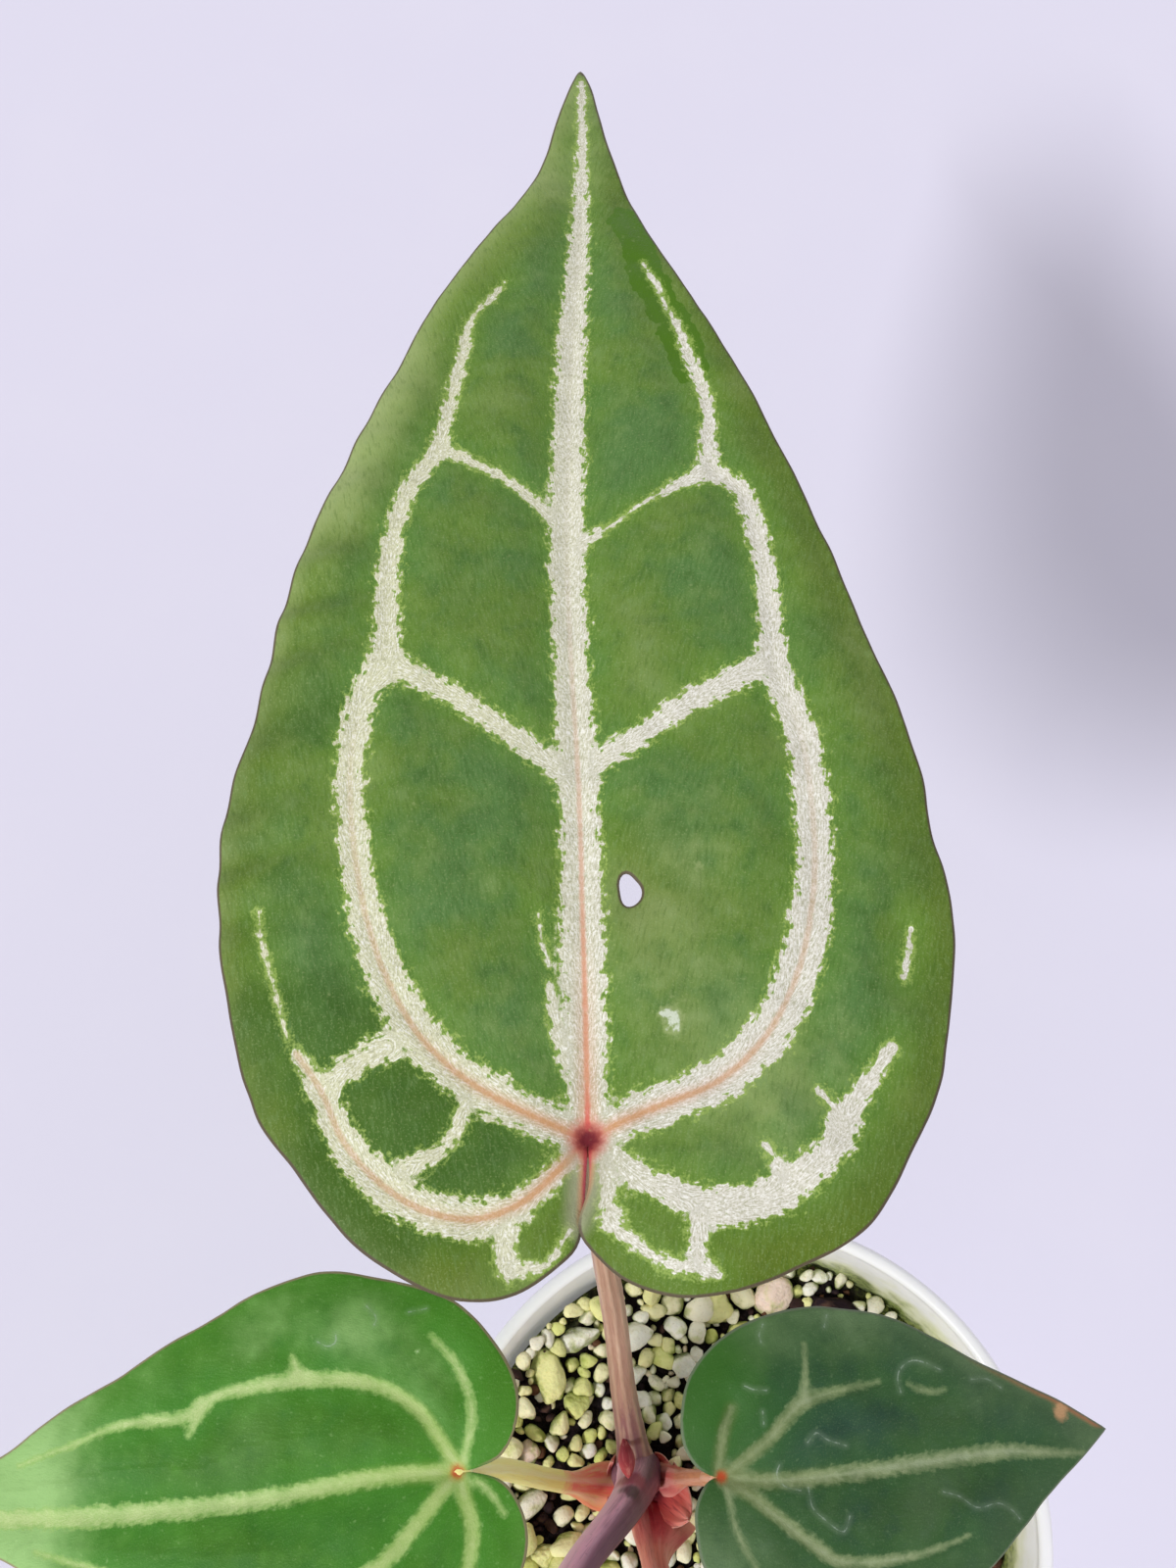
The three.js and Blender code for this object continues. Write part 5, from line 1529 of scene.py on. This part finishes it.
def scatter(name, slot, material, taken, sizes, tries, seed, roundness, level, bare, tints_near, tints_far):
    """Small stones strewn over the mix, none deep in another, fewer where the mix lies bare.

    Their tints come mostly from tints_near on the damper left side, and from tints_far elsewhere.
    """
    look = bpy.context.scene.anthurium_mix
    draw = random.Random(seed)
    unit = unit_lump(level)
    reach = inner_radius(SOIL_TOP) - 0.2
    spots = []
    for _ in range(int(tries * look.fullness)):
        x, y = draw.uniform(-reach, reach), draw.uniform(-reach, reach)
        size = sizes[0] + (sizes[1] - sizes[0]) * draw.random() ** 1.6
        if x * x + y * y > (reach - size / 3) ** 2 or (x - STEM[0]) ** 2 + (y - STEM[1]) ** 2 < (5 + size / 2) ** 2:
            continue
        cover = fractal(Vector((x / 12 + 4.2, y / 12, 0)), 1.0, 2.0, 2) + 0.4 * float(ease(-x, -10, 14))
        if cover < bare and draw.random() > 0.08:
            continue
        if any((x - a) ** 2 + (y - b) ** 2 < (0.36 * (size + s)) ** 2 for a, b, s in taken):
            continue
        taken.append((x, y, size))
        spots.append((x, y, size))
    heights = soil_height(np.array([[x, y] for x, y, _ in spots]))
    blocks, faces, tints, lows = [], [], [], []
    for i, ((x, y, size), ground) in enumerate(zip(spots, heights)):
        shape = [size * draw.uniform(1, 1.3), size * draw.uniform(0.8, 1), size * draw.uniform(0.75, 1.05)]
        heap = HEAP * float(ease(x * BANK_SIDE[0] + y * BANK_SIDE[1], *HEAP_REACH))
        middle = [x, y, ground + heap + shape[2] * draw.uniform(0.15, 0.5)]
        blocks.append(lump(unit, middle, shape, draw.uniform(0, 2 * pi), 300 + i, roundness))
        faces += [tuple(i * len(unit[0]) + k for k in face) for face in unit[1]]
        tint = draw.uniform(*tints_near if draw.random() < 0.25 + 0.5 * ease(-x, 15, 34) else tints_far)
        tints.append(np.full(len(unit[0]), tint))
        lows.append(0.5 - (blocks[-1][:, 2] - middle[2]) / shape[2])
    values = {"tint": np.concatenate(tints), "low_side": np.concatenate(lows)}
    make_piece(name, np.vstack(blocks), faces, [material], values)


def pale_laminate(colour):
    """Table top of matt melamine laminate: an even pale sheet with faint clouds of 40 mm and hardly any gloss."""
    material, add = new_material("matt_laminate", Roughness=0.55, Specular_IOR_Level=0.3)
    place = add("ShaderNodeTexCoord", out="Object")
    grain = add("ShaderNodeTexNoise", {"Vector": place, "Scale": 1 / (40 * MM), "Detail": 4}, out="Fac")
    return finish_material(material, layered(add, colour, [(grain, 0.4, 0.8, 0.12, "#f0edf6")]))


# Settings


class PotSettings(bpy.types.PropertyGroup):
    """The pot's finish."""

    plastic: FloatVectorProperty(
        name="Plastic", description="Colour of the moulded plastic", subtype="COLOR", size=3, min=0, max=1,
        default=linear("#faf9fd")[:3],
    )


class LeafSettings(bpy.types.PropertyGroup):
    """The leaves' relief."""

    quilting: FloatProperty(
        name="Quilting", description="How far the panels puff up between the veins", default=1, min=0, max=2,
        subtype="FACTOR",
    )
    waviness: FloatProperty(
        name="Waviness", description="How much the margins wave", default=1, min=0, max=2, subtype="FACTOR",
    )


class MixSettings(bpy.types.PropertyGroup):
    """The potting mix and what lies in it."""

    fullness: FloatProperty(
        name="Fullness", description="How many loose grains are strewn on the mix", default=1, min=0.1, max=1.2,
        subtype="FACTOR",
    )
    stain: FloatVectorProperty(
        name="Stain", description="Colour of the algae stain on the pumice", subtype="COLOR", size=3, min=0, max=1,
        default=linear("#c4cf62")[:3],
    )


class StageSettings(bpy.types.PropertyGroup):
    """Floor, light and camera."""

    floor: FloatVectorProperty(
        name="Floor", description="Colour of the floor", subtype="COLOR", size=3, min=0, max=1,
        default=linear("#e5e2f2")[:3],
    )
    window: FloatProperty(name="Window", description="Strength of the soft light from the left", default=1.95, min=0)
    room: FloatProperty(name="Room", description="Strength of the light from all round", default=0.58, min=0)
    lens: FloatProperty(name="Lens", description="Focal length of the camera", default=42.75, min=1, unit="CAMERA")


# Operators


class MakePot(bpy.types.Operator):
    """Make the nursery pot"""

    bl_idname = "anthurium.pot"
    bl_label = "Pot"

    def execute(self, context):
        make_pot()
        return {"FINISHED"}


class MakeMix(bpy.types.Operator):
    """Fill the pot with its mix, pumice grains and bark chips"""

    bl_idname = "anthurium.mix"
    bl_label = "Potting Mix"

    def execute(self, context):
        make_soil()
        stuff = {"pumice": pumice_stone(), "bark": bark_chip()}
        make_stones("pumice", PUMICE, stuff["pumice"], 5, [0.55, 0.72, 0.05, 0.9])
        make_stones("bark", BARK, stuff["bark"], 22, [0.05, 0.6])
        taken = [(x, y, 0.8 * (length + width) / 2) for x, y, length, width, _, _ in PUMICE + BARK]
        for name, loose in LOOSE.items():
            slot = name.split("_")[0]
            scatter(name, slot, stuff[slot], taken, **loose)
        return {"FINISHED"}


class MakeLeaves(bpy.types.Operator):
    """Make the five leaf blades"""

    bl_idname = "anthurium.leaves"
    bl_label = "Leaf Blades"

    def execute(self, context):
        skins = {kind: [velvet_leaf(kind), leaf_underside(kind)] for kind in VELVETS}
        for name, leaf in LEAVES.items():
            make_blade(name, leaf, skins[leaf["skin"]])
        return {"FINISHED"}


class MakeStalks(bpy.types.Operator):
    """Make the five leaf stalks"""

    bl_idname = "anthurium.stalks"
    bl_label = "Leaf Stalks"

    def execute(self, context):
        for name, stalk in STALKS.items():
            make_stalk(name, stalk, LEAVES[name]["blade"])
        return {"FINISHED"}


class MakeCrown(bpy.types.Operator):
    """Make the stem, the papery scales round it and the tip of the next bud"""

    bl_idname = "anthurium.crown"
    bl_label = "Crown"

    def execute(self, context):
        scale = papery_sheath()
        for name, sheath in SHEATHS.items():
            make_sheath(name, sheath, scale)
        make_crown()
        return {"FINISHED"}


# Pieces that cast no shadow from the window, which keeps the light as even as in the photograph
SHADOWLESS = [
    "nursery_pot", "potting_mix_bed", "blade_left", "blade_right", "blade_front_left", "blade_front_right",
    "stalk_front_left", "stalk_front_right",
]
# Which way the window's light goes and how many degrees it spreads, and the same of the part of it that comes through
# the pot's wall. The camera's place is in mm and the floor's side in metres.
WINDOW_PATH, WINDOW_SPREAD = (117, 108, -146), 11
WALL_PATH, WALL_SPREAD, WALL_SHARE = (-110, 60, -60), 40, 0.3
CAMERA_PLACE, CAMERA_TILT = (-25.7, 23.2, 426), 18
FLOOR_SIZE = 40


class MakeStage(bpy.types.Operator):
    """Set up the floor, the soft studio light and the camera"""

    bl_idname = "anthurium.stage"
    bl_label = "Stage"

    def execute(self, context):
        scene, look = context.scene, context.scene.anthurium_stage
        bpy.ops.mesh.primitive_grid_add(x_subdivisions=8, y_subdivisions=8, size=FLOOR_SIZE, location=(0, 0, 0))
        floor = context.object
        floor.name = "floor"
        floor.data.materials.append(pale_laminate(look.floor[:] + (1.0,)))

        world = bpy.data.worlds.new("room")
        world.use_nodes = True
        glow = world.node_tree.nodes["Background"].inputs
        glow["Color"].default_value = linear("#fbf9ff")
        glow["Strength"].default_value = look.room
        scene.world = world

        # One soft window light, in which only the largest leaf shades the floor. What the pot's thin wall lets through
        # lights its inside.
        window = bpy.data.lights.new("window", "SUN")
        window.energy = look.window
        window.angle = radians(WINDOW_SPREAD)
        through = bpy.data.lights.new("through_wall", "SUN")
        through.energy = WALL_SHARE * look.window
        through.angle = radians(WALL_SPREAD)
        plant = [bpy.data.objects[name] for name in SHADOWLESS]
        leaf, pot = bpy.data.objects["blade_main"], bpy.data.objects["nursery_pot"]
        for name, light, path, receivers, state, blockers, blocking in (
            ("window", window, WINDOW_PATH, [floor], "EXCLUDE", plant, "EXCLUDE"),
            ("window_on_floor", window, WINDOW_PATH, [floor], "INCLUDE", [leaf], "INCLUDE"),
            ("window_in_pot", through, WALL_PATH, [pot], "INCLUDE", [leaf], "INCLUDE"),
        ):
            lamp = bpy.data.objects.new(name, light)
            lamp.rotation_euler = Vector(path).to_track_quat("-Z", "Y").to_euler()
            scene.collection.objects.link(lamp)
            for kind, members, link in (("receiver", receivers, state), ("blocker", blockers, blocking)):
                group = bpy.data.collections.new(f"{name}_{kind}s")
                setattr(lamp.light_linking, f"{kind}_collection", group)
                for member in members:
                    group.objects.link(member)
                for entry in group.collection_objects:
                    entry.light_linking.link_state = link

        lens = bpy.data.cameras.new("camera")
        lens.lens = look.lens
        lens.sensor_width = 36
        lens.clip_start = 0.01
        camera = bpy.data.objects.new("camera", lens)
        camera.location = Vector(CAMERA_PLACE) * MM
        camera.rotation_euler = (radians(CAMERA_TILT), 0, 0)
        scene.collection.objects.link(camera)
        scene.camera = camera
        scene.view_settings.view_transform = "Standard"
        return {"FINISHED"}


class SidebarPanel(bpy.types.Panel):
    """Lists the plant's settings and the steps that make it"""

    bl_idname = "VIEW3D_PT_anthurium"
    bl_label = "Anthurium"
    bl_space_type = "VIEW_3D"
    bl_region_type = "UI"
    bl_category = "Anthurium"

    def draw(self, context):
        for group in SETTINGS:
            box = self.layout.box()
            settings = getattr(context.scene, group)
            for key in settings.bl_rna.properties.keys():
                if key not in ("rna_type", "name"):
                    box.prop(settings, key)
        for operator in OPERATORS:
            self.layout.operator(operator.bl_idname)


SETTINGS = {
    "anthurium_pot": PotSettings,
    "anthurium_leaf": LeafSettings,
    "anthurium_mix": MixSettings,
    "anthurium_stage": StageSettings,
}
OPERATORS = [MakePot, MakeMix, MakeCrown, MakeStalks, MakeLeaves, MakeStage]


def register():
    for kind in [*SETTINGS.values(), *OPERATORS, SidebarPanel]:
        bpy.utils.register_class(kind)
    for key, kind in SETTINGS.items():
        setattr(bpy.types.Scene, key, PointerProperty(type=kind))


def unregister():
    for key in SETTINGS:
        delattr(bpy.types.Scene, key)
    for kind in reversed([*SETTINGS.values(), *OPERATORS, SidebarPanel]):
        bpy.utils.unregister_class(kind)


def main():
    register()
    for operator in OPERATORS:
        group, step = operator.bl_idname.split(".")
        getattr(getattr(bpy.ops, group), step)()


if __name__ == "__main__":
    main()
